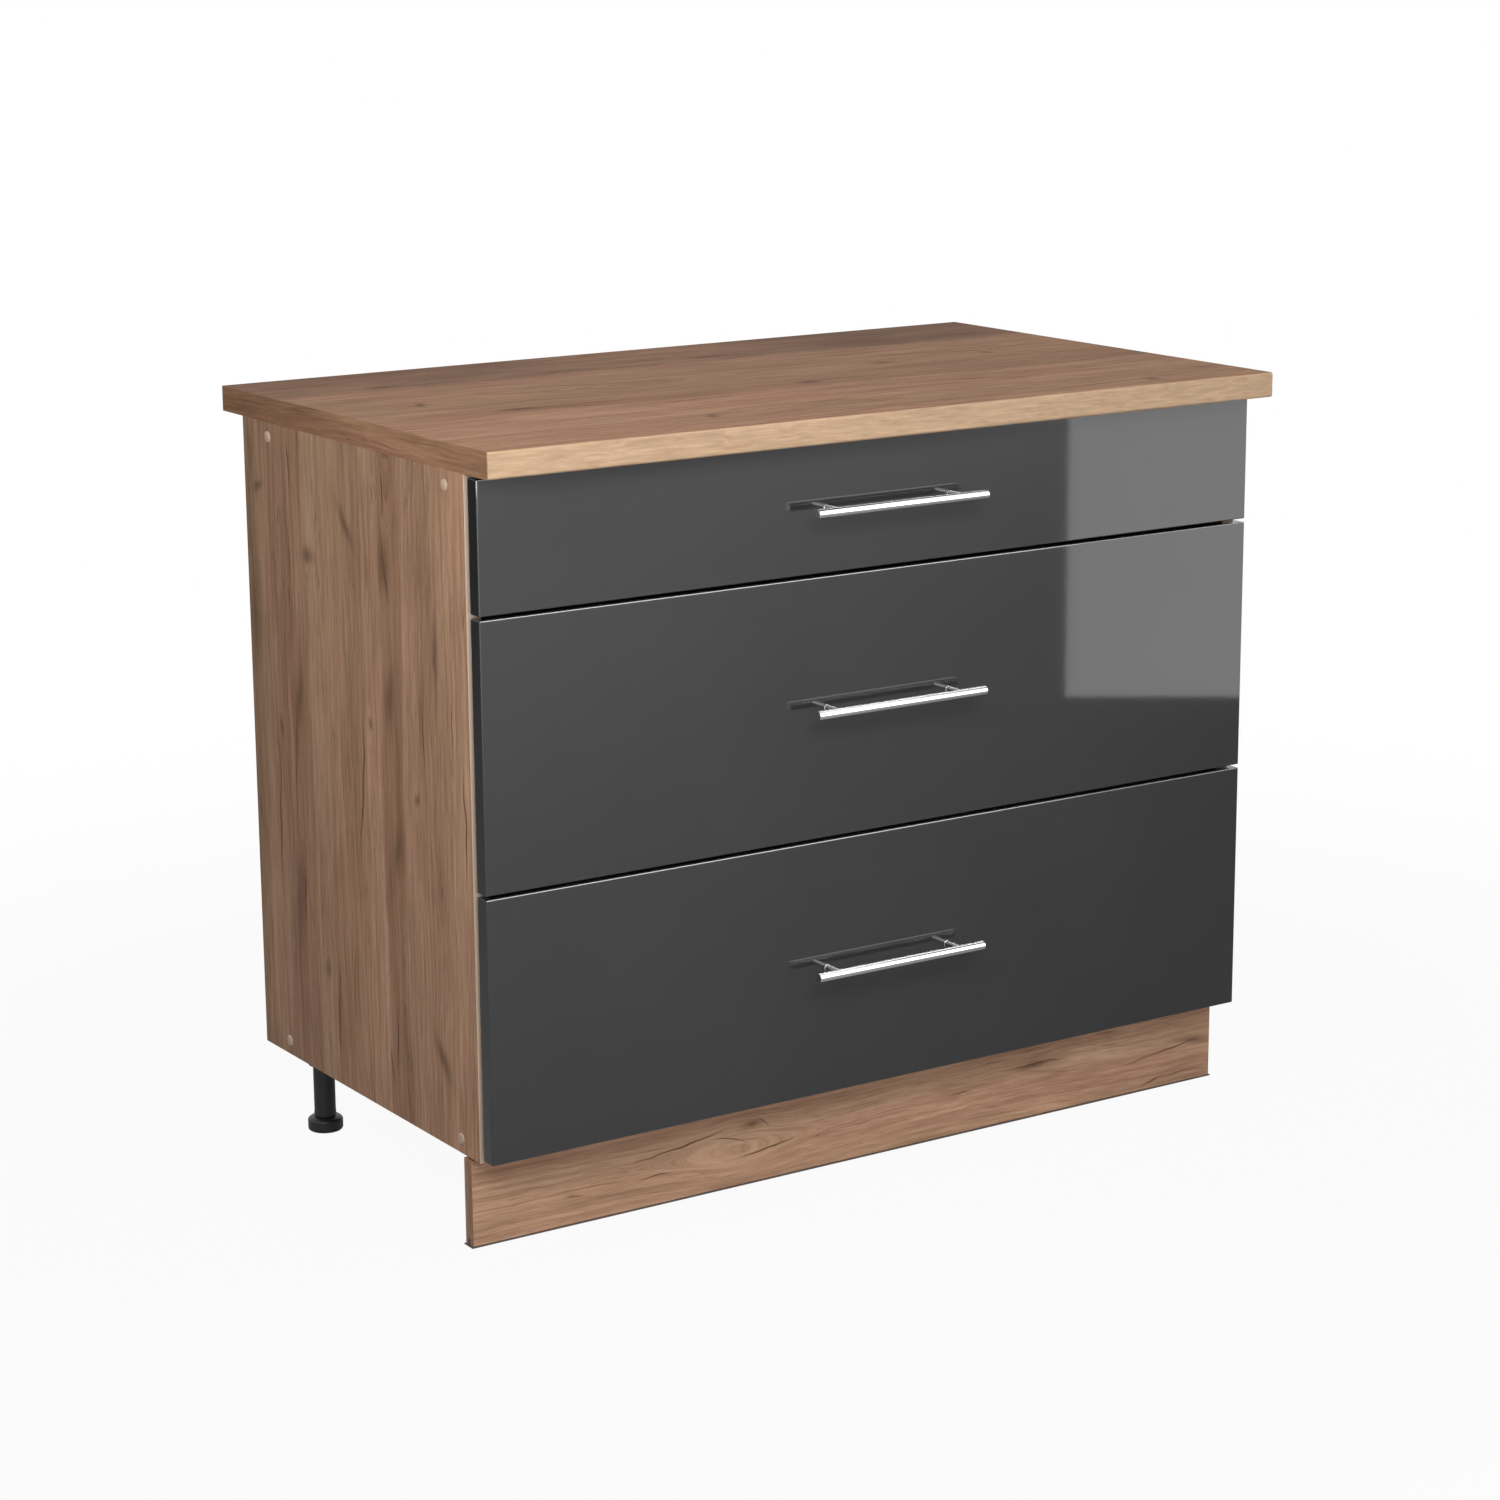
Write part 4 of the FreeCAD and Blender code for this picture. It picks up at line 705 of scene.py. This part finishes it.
def makeFoot(place):
    low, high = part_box(f"foot_{place}")
    centre = (low + high) / 2
    full, radius, tall, steps = high.z - low.z, foot["radius"], foot["height"], foot["steps"]
    shoulder = tall - foot["shoulder"]
    disc = turnedShape([
        (0, 0), (radius - 0.0016, 0), (radius - 0.0004, 0.0011), (radius, 0.003), (radius, shoulder - 0.0008),
        (radius - 0.0008, shoulder + 0.0006), (radius - 0.0026, tall - 0.0012), (radius - 0.0052, tall), (0, tall)],
        steps)
    # notches in the lower rim: two of every eight rim faces are pushed in
    rim = [face for face in disc.faces if face.calc_center_median().z < 0.0032
           and face.calc_center_median().xy.length > radius - 0.0018]
    for vert in drawnOut(disc, [face for face in rim if turnOf(face, steps) % (steps // foot["notches"]) in (0, 1)]):
        inwards = vert.co.xy.normalized() * foot["notchDepth"]
        vert.co.x -= inwards.x
        vert.co.y -= inwards.y
    bmesh.ops.recalc_face_normals(disc, faces=disc.faces)
    # the spigot's thread, swept as a helix and closed by its core
    thread = bmesh.new()
    root, crest, pitch = foot["root"], foot["spigot"], foot["pitch"]
    start, turns = tall + 0.002, (full - tall - 0.006) / pitch
    profile = ((root - 0.0006, 0.0), (crest, 0.3), (crest, 0.42), (root - 0.0006, 0.72))
    corners = [thread.verts.new((reach, 0, start + pitch * share)) for reach, share in profile]
    ring = [thread.edges.new((corners[i], corners[(i + 1) % 4])) for i in range(4)]
    thread.faces.new(corners)
    bmesh.ops.spin(thread, geom=corners + ring + list(thread.faces), cent=(0, 0, 0), axis=(0, 0, 1),
                   dvec=(0, 0, pitch / foot["threadSteps"]), angle=math.tau * turns,
                   steps=int(turns * foot["threadSteps"]))
    bmesh.ops.recalc_face_normals(thread, faces=thread.faces)
    core = turnedShape([(0, tall - 0.001), (root, tall - 0.001), (root, full - 0.0015), (root - 0.0015, full),
                        (0, full)], 40)
    whole = joined([disc, thread, core])
    bmesh.ops.translate(whole, verts=whole.verts, vec=(centre.x, centre.y, low.z))
    piece(f"foot_{place}", whole, "black", 34)


legPlaces = ("front_left", "front_right", "rear_left", "rear_right")
for place in legPlaces:
    makeFoot(place)

tube = {"bore": 0.009, "wall": 0.01225, "rim": [(0.0118, 0), (0.0125, 0.0007), (0.0125, 0.006), (0.01225, 0.0065)],
        "steps": 64}


def makeTubes():
    low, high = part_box("leg_tubes")
    bore, wall, tall = tube["bore"], tube["wall"], high.z - low.z
    tubes = []
    for place in legPlaces:
        footLow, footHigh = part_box(f"foot_{place}")
        centre = (footLow + footHigh) / 2
        profile = [(bore, 0), *tube["rim"], (wall, tall), (bore, tall), (bore, 0)]
        tubes.append(moved(turnedShape(profile, tube["steps"]), (centre.x, centre.y, low.z)))
    piece("leg_tubes", joined(tubes), "black")


makeTubes()
print("worktop, caps and legs made")

rounding = {  # boards and mouldings that keep the CAD shape: finish and how far their long edges are rounded
    "side_panel_left": ("oakSide", 0.0004), "side_panel_right": ("oakSideRight", 0.0004),
    "bottom_panel": ("oakBoard", 0.0004), "front_rail": ("oakBoard", 0.0004), "rear_rail": ("oakBoard", 0.0004),
    "plinth": ("oakPlinth", 0.0007), "edge_bands": ("oakBand", 0.0003), "plinth_seal": ("seal", 0.0003),
    "plinth_clips": ("grey", 0.0004), "leg_sockets": ("black", 0.0005), "worktop_brackets": ("zinc", 0.0003),
}
for drawer in drawerNames:
    rounding[f"{drawer}_bottom"] = "melamine", 0.0003
    rounding[f"{drawer}_back"] = "melamine", 0.0005


def softened(node, radius, shortest=0.008):
    # a welded copy of a CAD node with its long edges rounded; the rims of small holes stay as they are
    shape = welded(node)
    bmesh.ops.dissolve_limit(shape, angle_limit=math.radians(0.5), verts=shape.verts, edges=shape.edges)
    edges = [edge for edge in sharpEdges(shape, 40) if edge.calc_length() > shortest]
    rounded(shape, edges, radius, 2, False)
    return shape


for node, (material, radius) in rounding.items():
    piece(node, softened(node, radius), material)
print("boards and mouldings made")


sheet = {"thickness": 0.0012, "bend": 0.0005, "bead": 0.0008, "beadSlope": 0.0018}


def pushed(outline, start, end):
    # an outline of x and z, pushed along Y
    shape = bmesh.new()
    face = shape.faces.new([shape.verts.new((x, start, z)) for x, z in outline])
    grown = bmesh.ops.extrude_face_region(shape, geom=[face])
    bmesh.ops.translate(shape, vec=(0, end - start, 0), verts=grownVerts(grown))
    bmesh.ops.recalc_face_normals(shape, faces=shape.faces)
    return shape


def folded(outline, start, end):
    # sheet steel: each fold gets its bend outside and inside, the sheet's own edges stay square
    shape = pushed(outline, start, end)

    def folds(convex):
        wide = sheet["thickness"] * 1.5 * (end - start)
        return [edge for edge in sharpEdges(shape, 60) if edge.is_convex == convex and runOf(edge, 1) > 0.01
                and (not convex or all(face.calc_area() > wide for face in edge.link_faces))]

    rounded(shape, folds(True), sheet["bend"] + sheet["thickness"], 4, False)
    rounded(shape, folds(False), sheet["bend"], 2, False)
    return shape


runner = {"track": 0.0094, "lip": 0.008, "stopRise": 0.003, "stopFromBack": 0.3655, "stopLength": 0.008,
          "stopCrest": 0.0026}


def makeRunners(level):
    low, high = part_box(f"runners_{level}")
    thick, track, lip = sheet["thickness"], runner["track"], runner["lip"]
    shapes = []
    for edge, sign in ((low.x, 1), (high.x, -1)):
        outline = [(0, low.z), (track, low.z), (track, low.z + thick), (thick, low.z + thick),
                   (thick, high.z - thick), (lip, high.z - thick), (lip, high.z), (0, high.z)]
        shapes.append(folded([(edge + sign * x, z) for x, z in outline], low.y, high.y))
        stopEnd = high.y - runner["stopFromBack"]
        near, far = sorted((edge + sign * thick, edge + sign * track))
        stop = block((near, stopEnd - runner["stopLength"], low.z + thick / 2),
                     (far, stopEnd, low.z + thick + runner["stopRise"]))
        crest = [line for line in stop.edges if all(vert.co.z > low.z + thick for vert in line.verts)
                 and runOf(line, 0) > 0.001]
        rounded(stop, crest, runner["stopCrest"], 4, False)
        shapes.append(stop)
    piece(f"runners_{level}", joined(shapes), "steel")


drawerSide = {"hang": 0.0076, "guide": 0.021, "lip": 0.0036, "lipDrop": 0.008, "beadWidth": 0.009,
              "beads": {"top": (0.45,), "deep": (0.42, 0.66)}, "tabInset": 0.0212, "tabDrop": 0.006,
              "tabCorner": 0.004}


def makeDrawerSide(drawer, hand):
    node = f"{drawer}_side_{hand}"
    low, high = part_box(node)
    thick, hang, lip = sheet["thickness"], drawerSide["hang"], drawerSide["lip"]
    width, base, top = high.x - low.x, low.z, high.z
    edge, sign = (low.x, 1) if hand == "left" else (high.x, -1)
    beads = []  # pressed outwards along the wall
    for share in drawerSide["beads"]["top" if drawer == "top_drawer" else "deep"]:
        start = base + share * (top - base)
        for height, depth in ((0, 0), (sheet["beadSlope"], sheet["bead"]),
                              (drawerSide["beadWidth"] - sheet["beadSlope"], sheet["bead"]),
                              (drawerSide["beadWidth"], 0)):
            beads.append((depth, start + height))
    inside = [(hang + thick - depth, z) for depth, z in beads]
    outside = [(hang - depth, z) for depth, z in reversed(beads)]
    guide, drop = base + drawerSide["guide"], top - drawerSide["lipDrop"]
    outline = [(hang, base), (width, base), (width, base + thick), (hang + thick, base + thick), *inside,
               (hang + thick, top), (lip, top), (lip, drop), (lip + thick, drop), (lip + thick, top - thick),
               (hang, top - thick), *outside, (hang, guide), (0, guide), (0, guide - thick), (hang, guide - thick)]
    wall = folded([(edge + sign * x, z) for x, z in outline], low.y, high.y)
    # the tab that the front is screwed to
    near, far = sorted((edge + sign * (hang + thick / 2), edge + sign * width))
    tab = block((near, low.y, base + drawerSide["tabInset"]), (far, low.y + thick, top - drawerSide["tabDrop"]))
    corners = [line for line in tab.edges if runOf(line, 1) > thick / 2 and abs(line.verts[0].co.x - edge) > 0.02]
    rounded(tab, corners, drawerSide["tabCorner"], 5, False)
    piece(node, joined([wall, tab]), "steel")


for level in ("top", "middle", "bottom"):
    makeRunners(level)
    makeDrawerSide(f"{level}_drawer", "left")
    makeDrawerSide(f"{level}_drawer", "right")
print("runners and drawer sides made")


def looseParts(node):
    # the corners of each separate solid of a CAD node
    shape = welded(node)
    seen, parts = set(), []
    for vert in shape.verts:
        if vert in seen:
            continue
        seen.add(vert)
        waiting, part = [vert], []
        while waiting:
            current = waiting.pop()
            part.append(current.co.copy())
            for edge in current.link_edges:
                other = edge.other_vert(current)
                if other not in seen:
                    seen.add(other)
                    waiting.append(other)
        parts.append(part)
    shape.free()
    return parts


def extent(part):
    return (Vector([min(point[i] for point in part) for i in range(3)]),
            Vector([max(point[i] for point in part) for i in range(3)]))


screw = {"steps": 16, "arm": 4, "recess": 0.55, "tip": 0.0016, "rivetEnd": 0.0003, "stud": 0.009, "studLength": 0.012}


def screwShape(part, axis, recess, proud):
    # a screw or rivet in the place of a CAD one: domed head, cross recess, tapered tip
    low, high = extent(part)
    centre = (low + high) / 2
    others = [i for i in range(3) if i != axis]

    def reach(points):
        return max(math.hypot(*(point[i] - centre[i] for i in others)) for point in points)

    atLow, atHigh = (reach([point for point in part if abs(point[axis] - at) < 5e-5])
                     for at in (low[axis], high[axis]))
    head, shank = max(atLow, atHigh), min(atLow, atHigh)
    start, outwards = (low[axis], -1) if atLow > atHigh else (high[axis], 1)
    under = max(abs(point[axis] - start) for point in part
                if math.hypot(*(point[i] - centre[i] for i in others)) > shank + 0.0002)
    length = high[axis] - low[axis]
    taper = screw["tip"] if recess else screw["rivetEnd"]
    shape = turnedShape([
        (0, proud), (head * 0.16, proud), (head * 0.52, proud - under * 0.05), (head * 0.8, proud - under * 0.2),
        (head * 0.96, proud - under * 0.45), (head, proud - under * 0.7), (head, -under), (shank, -under),
        (shank, taper - length), (0 if recess else shank - taper, -length), (0, -length)], screw["steps"])
    if recess:
        sunk = [face for face in shape.faces if face.calc_center_median().z > proud - under * 0.06
                and (face.calc_center_median().xy.length < head * 0.14
                     or turnOf(face, screw["steps"]) % screw["arm"] == 0)]
        bmesh.ops.translate(shape, vec=(0, 0, -under * screw["recess"]), verts=drawnOut(shape, sunk))
        bmesh.ops.recalc_face_normals(shape, faces=shape.faces)
    place, direction = centre.copy(), Vector((0, 0, 0))
    place[axis], direction[axis] = start, outwards
    return moved(shape, place, direction)


def makeScrews(node, axis=None, recess=True, proud=0.0):
    shapes = []
    for part in looseParts(node):
        low, high = extent(part)
        size = high - low
        longest = max(range(3), key=lambda i: size[i]) if axis is None else axis
        # a roller's stud among a drawer's fixings
        rivet = abs(sorted(size)[1] - screw["stud"]) < 2e-4 and size[longest] < screw["studLength"]
        shapes.append(screwShape(part, longest, recess and not rivet, proud))
    piece(node, joined(shapes), "zinc")


makeScrews("runner_screws", proud=0.0004)
makeScrews("hardware_screws")
makeScrews("roller_axles", 0, False)
for drawer in drawerNames:
    makeScrews(f"{drawer}_fixings")

roller = {"hub": 0.005, "recess": 0.001, "rim": 0.0086, "ribs": 5, "rib": 0.0011, "steps": 56}


def makeRollers(node):
    shapes = []
    for part in looseParts(node):
        low, high = extent(part)
        centre = (low + high) / 2
        radius, width = (high.z - low.z) / 2, high.x - low.x
        bore = min((point.yz - centre.yz).length for point in part)
        hub, rim, depth = roller["hub"], roller["rim"], roller["recess"]
        wheel = turnedShape([
            (bore, 0), (hub, 0), (hub + 0.0002, depth), (rim - 0.0002, depth), (rim, 0.0001),
            (radius - 0.0008, 0), (radius - 0.0002, 0.0003), (radius, 0.0009), (radius, width - 0.0009),
            (radius - 0.0002, width - 0.0003), (radius - 0.0008, width), (rim, width - 0.0001),
            (rim - 0.0002, width - depth), (hub + 0.0002, width - depth), (hub, width), (bore, width), (bore, 0)],
            roller["steps"])
        ribs, half = [], roller["rib"] / 2
        for step in range(roller["ribs"]):
            rib = block((hub - 0.0002, -half, 0.0003), (rim + 0.0002, half, width - 0.0003))
            bmesh.ops.rotate(rib, verts=rib.verts, cent=(0, 0, 0),
                             matrix=Matrix.Rotation(math.tau * step / roller["ribs"], 3, "Z"))
            ribs.append(rib)
        shapes.append(moved(joined([wheel, *ribs]), (low.x, centre.y, centre.z), (1, 0, 0)))
    piece(node, joined(shapes), "roller", 30)


for level in ("top", "middle", "bottom"):
    makeRollers(f"runner_rollers_{level}")
    makeRollers(f"drawer_rollers_{level}")
print("screws and rollers made")

railSocket = {"flange": 0.0024, "neck": 0.0074, "mouth": 0.0056, "rodEdge": 0.0006, "steps": 40}


def makeSideRails(drawer):
    rods, sockets = [], []
    for part in looseParts(f"{drawer}_side_rails"):
        low, high = extent(part)
        centre, radius, length = (low + high) / 2, (high.x - low.x) / 2, high.y - low.y
        edge = railSocket["rodEdge"]
        rod = turnedShape([(0, 0), (radius - edge, 0), (radius, edge), (radius, length - edge),
                           (radius - edge, length), (0, length)], railSocket["steps"])
        rods.append(moved(rod, (centre.x, low.y, centre.z), (0, 1, 0)))
    piece(f"{drawer}_side_rails", joined(rods), "rail")
    for part in looseParts(f"{drawer}_rail_sockets"):
        low, high = extent(part)
        centre, radius, length = (low + high) / 2, (high.x - low.x) / 2, high.y - low.y
        flange, neck, mouth = railSocket["flange"], railSocket["neck"], railSocket["mouth"]
        cup = turnedShape([
            (0, 0), (radius, 0), (radius, flange - 0.0006), (radius - 0.0005, flange),
            (neck + 0.0006, flange + 0.0001), (neck + 0.0001, flange + 0.0008), (neck - 0.0004, length - 0.0008),
            (neck - 0.001, length), (mouth, length), (mouth - 0.0004, length - 0.0004),
            (mouth - 0.0004, flange), (0, flange)], railSocket["steps"])
        y, direction = (low.y, 1) if centre.y < 0 else (high.y, -1)
        sockets.append(moved(cup, (centre.x, y, centre.z), (0, direction, 0)))
    piece(f"{drawer}_rail_sockets", joined(sockets), "grey")


makeSideRails("middle_drawer")
makeSideRails("bottom_drawer")
print("side rails made")

kept = {"back_panel": "hardboard", "carcass_screws": "zinc"}
for node, material in kept.items():
    data = frame["nodes"][node].data
    data.materials.clear()
    data.materials.append(materials[material])
print("CAD pieces dressed")

camera = {"lens": 86.8957, "place": (-2.21187, -3.3631, 1.38468), "yaw": 33.2735, "pitch": -13.4427,
          "roll": -0.3877}


def makeCamera():
    yaw, pitch, roll = (math.radians(camera[key]) for key in ("yaw", "pitch", "roll"))
    ahead = Vector((math.sin(yaw) * math.cos(pitch), math.cos(yaw) * math.cos(pitch), math.sin(pitch)))
    right = Vector((math.cos(yaw), -math.sin(yaw), 0))
    up = right.cross(ahead)
    turnedRight = right * math.cos(roll) + up * math.sin(roll)
    turnedUp = up * math.cos(roll) - right * math.sin(roll)
    data = bpy.data.cameras.new("camera")
    data.lens = camera["lens"]
    data.sensor_width = 36
    data.clip_start, data.clip_end = 0.05, 100
    made = placed("camera", data)
    made.matrix_world = Matrix.Translation(camera["place"]) @ Matrix(
        (turnedRight, turnedUp, -ahead)).transposed().to_4x4()
    bpy.context.scene.camera = made


makeCamera()

world = {"light": 0.37}


def makeWorld():
    made = bpy.data.worlds.new("studio")
    bpy.context.scene.world = made
    look = Look("studio", made)
    path = look.node("ShaderNodeLightPath", None, None, "Is Camera Ray")
    seen = path.larger(path.other("Is Glossy Ray")).larger(path.other("Is Transmission Ray"))
    strength = look.node("ShaderNodeMapRange", None, {"Value": seen, "To Min": world["light"]})
    background = look.node("ShaderNodeBackground", None, {"Color": flat(1, 1, 1), "Strength": strength})
    look.node("ShaderNodeOutputWorld", None, {"Surface": background})


makeWorld()

lamps = {
    "key": {"place": (-0.5, -2.00, 1.85), "target": (0.0, -0.2, 0.7), "size": (1.3, 1.0), "watts": 27,
            "spread": 180, "inGloss": True},
    "left": {"place": (-1.5, -1.00, 1.4), "target": (-0.5, -0.18, 0.78), "size": (0.6, 0.6), "watts": 4.4,
             "spread": 100, "inGloss": True},
    "strip": {"place": (1.25, -0.85, 2.65), "target": (0.0, -0.27, 0.55), "size": (2.6, 0.24), "watts": 6,
              "spread": 180, "inGloss": True},
    "rear": {"place": (0.7, 3.2, 0.78), "target": (0.1, 0.25, 0.45), "size": (2.4, 1.2), "watts": 45,
             "spread": 180, "inGloss": False},
    "low": {"place": (0.55, -2.6, 0.62), "target": (0.0, -0.2, 0.15), "size": (1.7, 0.5), "watts": 14,
            "spread": 180, "inGloss": False},
}


def makeLamps():
    for name, values in lamps.items():
        data = bpy.data.lights.new(name, "AREA")
        data.shape = "RECTANGLE"
        data.size, data.size_y = values["size"]
        data.energy = values["watts"]
        data.spread = math.radians(values["spread"])
        lamp = placed(name, data)
        lamp.visible_glossy = values["inGloss"]
        place = Vector(values["place"])
        lamp.matrix_world = Matrix.Translation(place) @ (Vector(values["target"]) - place).to_track_quat(
            "-Z", "Y").to_matrix().to_4x4()


makeLamps()

# cards that only reflections see; seenBy names the kinds of piece that see one, where not all do
cards = {
    "rightCard": {"corners": [(1.189, -1.47, 0.162), (2.6, -1.47, -0.02), (2.6, -1.47, 1.9), (1.189, -1.47, 1.9)],
                  "strength": 3.3, "seenBy": ()},
    "darkFlag": {"corners": [(-1.5, -1.1, 3.0), (4.5, -1.1, 3.0), (4.5, 0.1, 3.0), (-1.5, 0.1, 3.0)],
                 "strength": 0.16, "seenBy": ()},
    "frontCard": {"corners": [(1.2, -6.4, 0.0), (7.3, -2.9, 0.0), (7.3, -2.9, 11.0), (1.2, -6.4, 11.0)],
                  "strength": 17.0, "seenBy": ("front",)},
    "leftCard": {"corners": [(-1.95, -0.3, 0.6), (-1.05, -1.62, 0.6), (-1.05, -1.62, 0.85), (-1.95, -0.3, 0.85)],
                 "strength": 26.0, "seenBy": ("front",)},
    "handleCard": {"corners": [(1.2, -6.3, 0.0), (5.4, -3.9, 0.0), (5.4, -3.9, 7.4), (1.2, -6.3, 7.4)],
                   "strength": 3.6, "seenBy": ("handle_bar", "handle_posts")},
}


def makeCards():
    for name, values in cards.items():
        shape = bmesh.new()
        shape.faces.new([shape.verts.new(corner) for corner in values["corners"]])
        mesh = asMesh(name, shape)
        look = Look(name)
        glow = look.node("ShaderNodeEmission", None, {"Color": flat(1, 1, 1), "Strength": values["strength"]})
        card = placed(name, mesh)
        if values["seenBy"]:  # the other pieces see through it
            glow = look.node("ShaderNodeAddShader", None, {0: glow, 1: look.node("ShaderNodeBsdfTransparent")})
            seers = bpy.data.collections.new(name)
            for drawer in drawerNames:
                for part in values["seenBy"]:
                    seers.objects.link(pieces[f"{drawer}_{part}"])
            card.light_linking.receiver_collection = seers
        look.node("ShaderNodeOutputMaterial", None, {"Surface": glow})
        mesh.materials.append(look.material)
        card.visible_camera = False
        card.visible_diffuse = False
        card.visible_shadow = False
        card.visible_transmission = False


makeCards()

floor = {"radius": 30.0, "colour": 0.36, "white": 0.94, "whiteFrom": 0.8, "whiteTo": 2.2,
         "mirrored": [(0.0, 0.12), (0.16, 0.36), (0.43, 1.05), (0.52, 1.1), (0.86, 3.0)]}


def makeFloor():
    shape = bmesh.new()
    bmesh.ops.create_circle(shape, cap_ends=True, segments=96, radius=floor["radius"])
    mesh = asMesh("floor", shape)
    look = Look("floor")
    path = look.node("ShaderNodeLightPath", None, None, "Is Camera Ray")
    x, y = look.axes("XY")
    far = (x * x + y * y).root().rise(floor["whiteFrom"], floor["whiteTo"])
    seen = path.larger(path.other("Is Transmission Ray"))
    grain = look.noise(look.place, 40, 3)
    shade = look.mix(grain, flat(*[floor["colour"]] * 3), flat(*[floor["colour"] + 0.02] * 3))
    plain = look.node("ShaderNodeBsdfDiffuse", None, {"Color": shade})
    white = look.node("ShaderNodeEmission", None, {"Color": flat(1, 1, 1), "Strength": 1.0})
    lit = look.node("ShaderNodeMixShader", None, {0: seen * (far * (1 - floor["white"]) + floor["white"]),
                                                   1: plain, 2: white})
    # what the gloss sees of the floor: bright far out to the front, greyer close by and to the sides
    away = ((0 - y - x * 0.9) + 1.0) / 7.0
    mirrored = look.node("ShaderNodeEmission", None, {
        "Color": look.ramp(away, [(at, (shine,) * 3) for at, shine in floor["mirrored"]]), "Strength": 1.0})
    both = look.node("ShaderNodeMixShader", None, {0: path.other("Is Glossy Ray"), 1: lit, 2: mirrored})
    behind = look.node("ShaderNodeNewGeometry", None, None, "Backfacing")
    clear = look.node("ShaderNodeBsdfTransparent")
    surface = look.node("ShaderNodeMixShader", None, {0: behind, 1: both, 2: clear})
    look.node("ShaderNodeOutputMaterial", None, {"Surface": surface})
    mesh.materials.append(look.material)
    placed("floor", mesh)


makeFloor()
bpy.context.scene.view_settings.view_transform = "Standard"
print("camera, light and floor made")
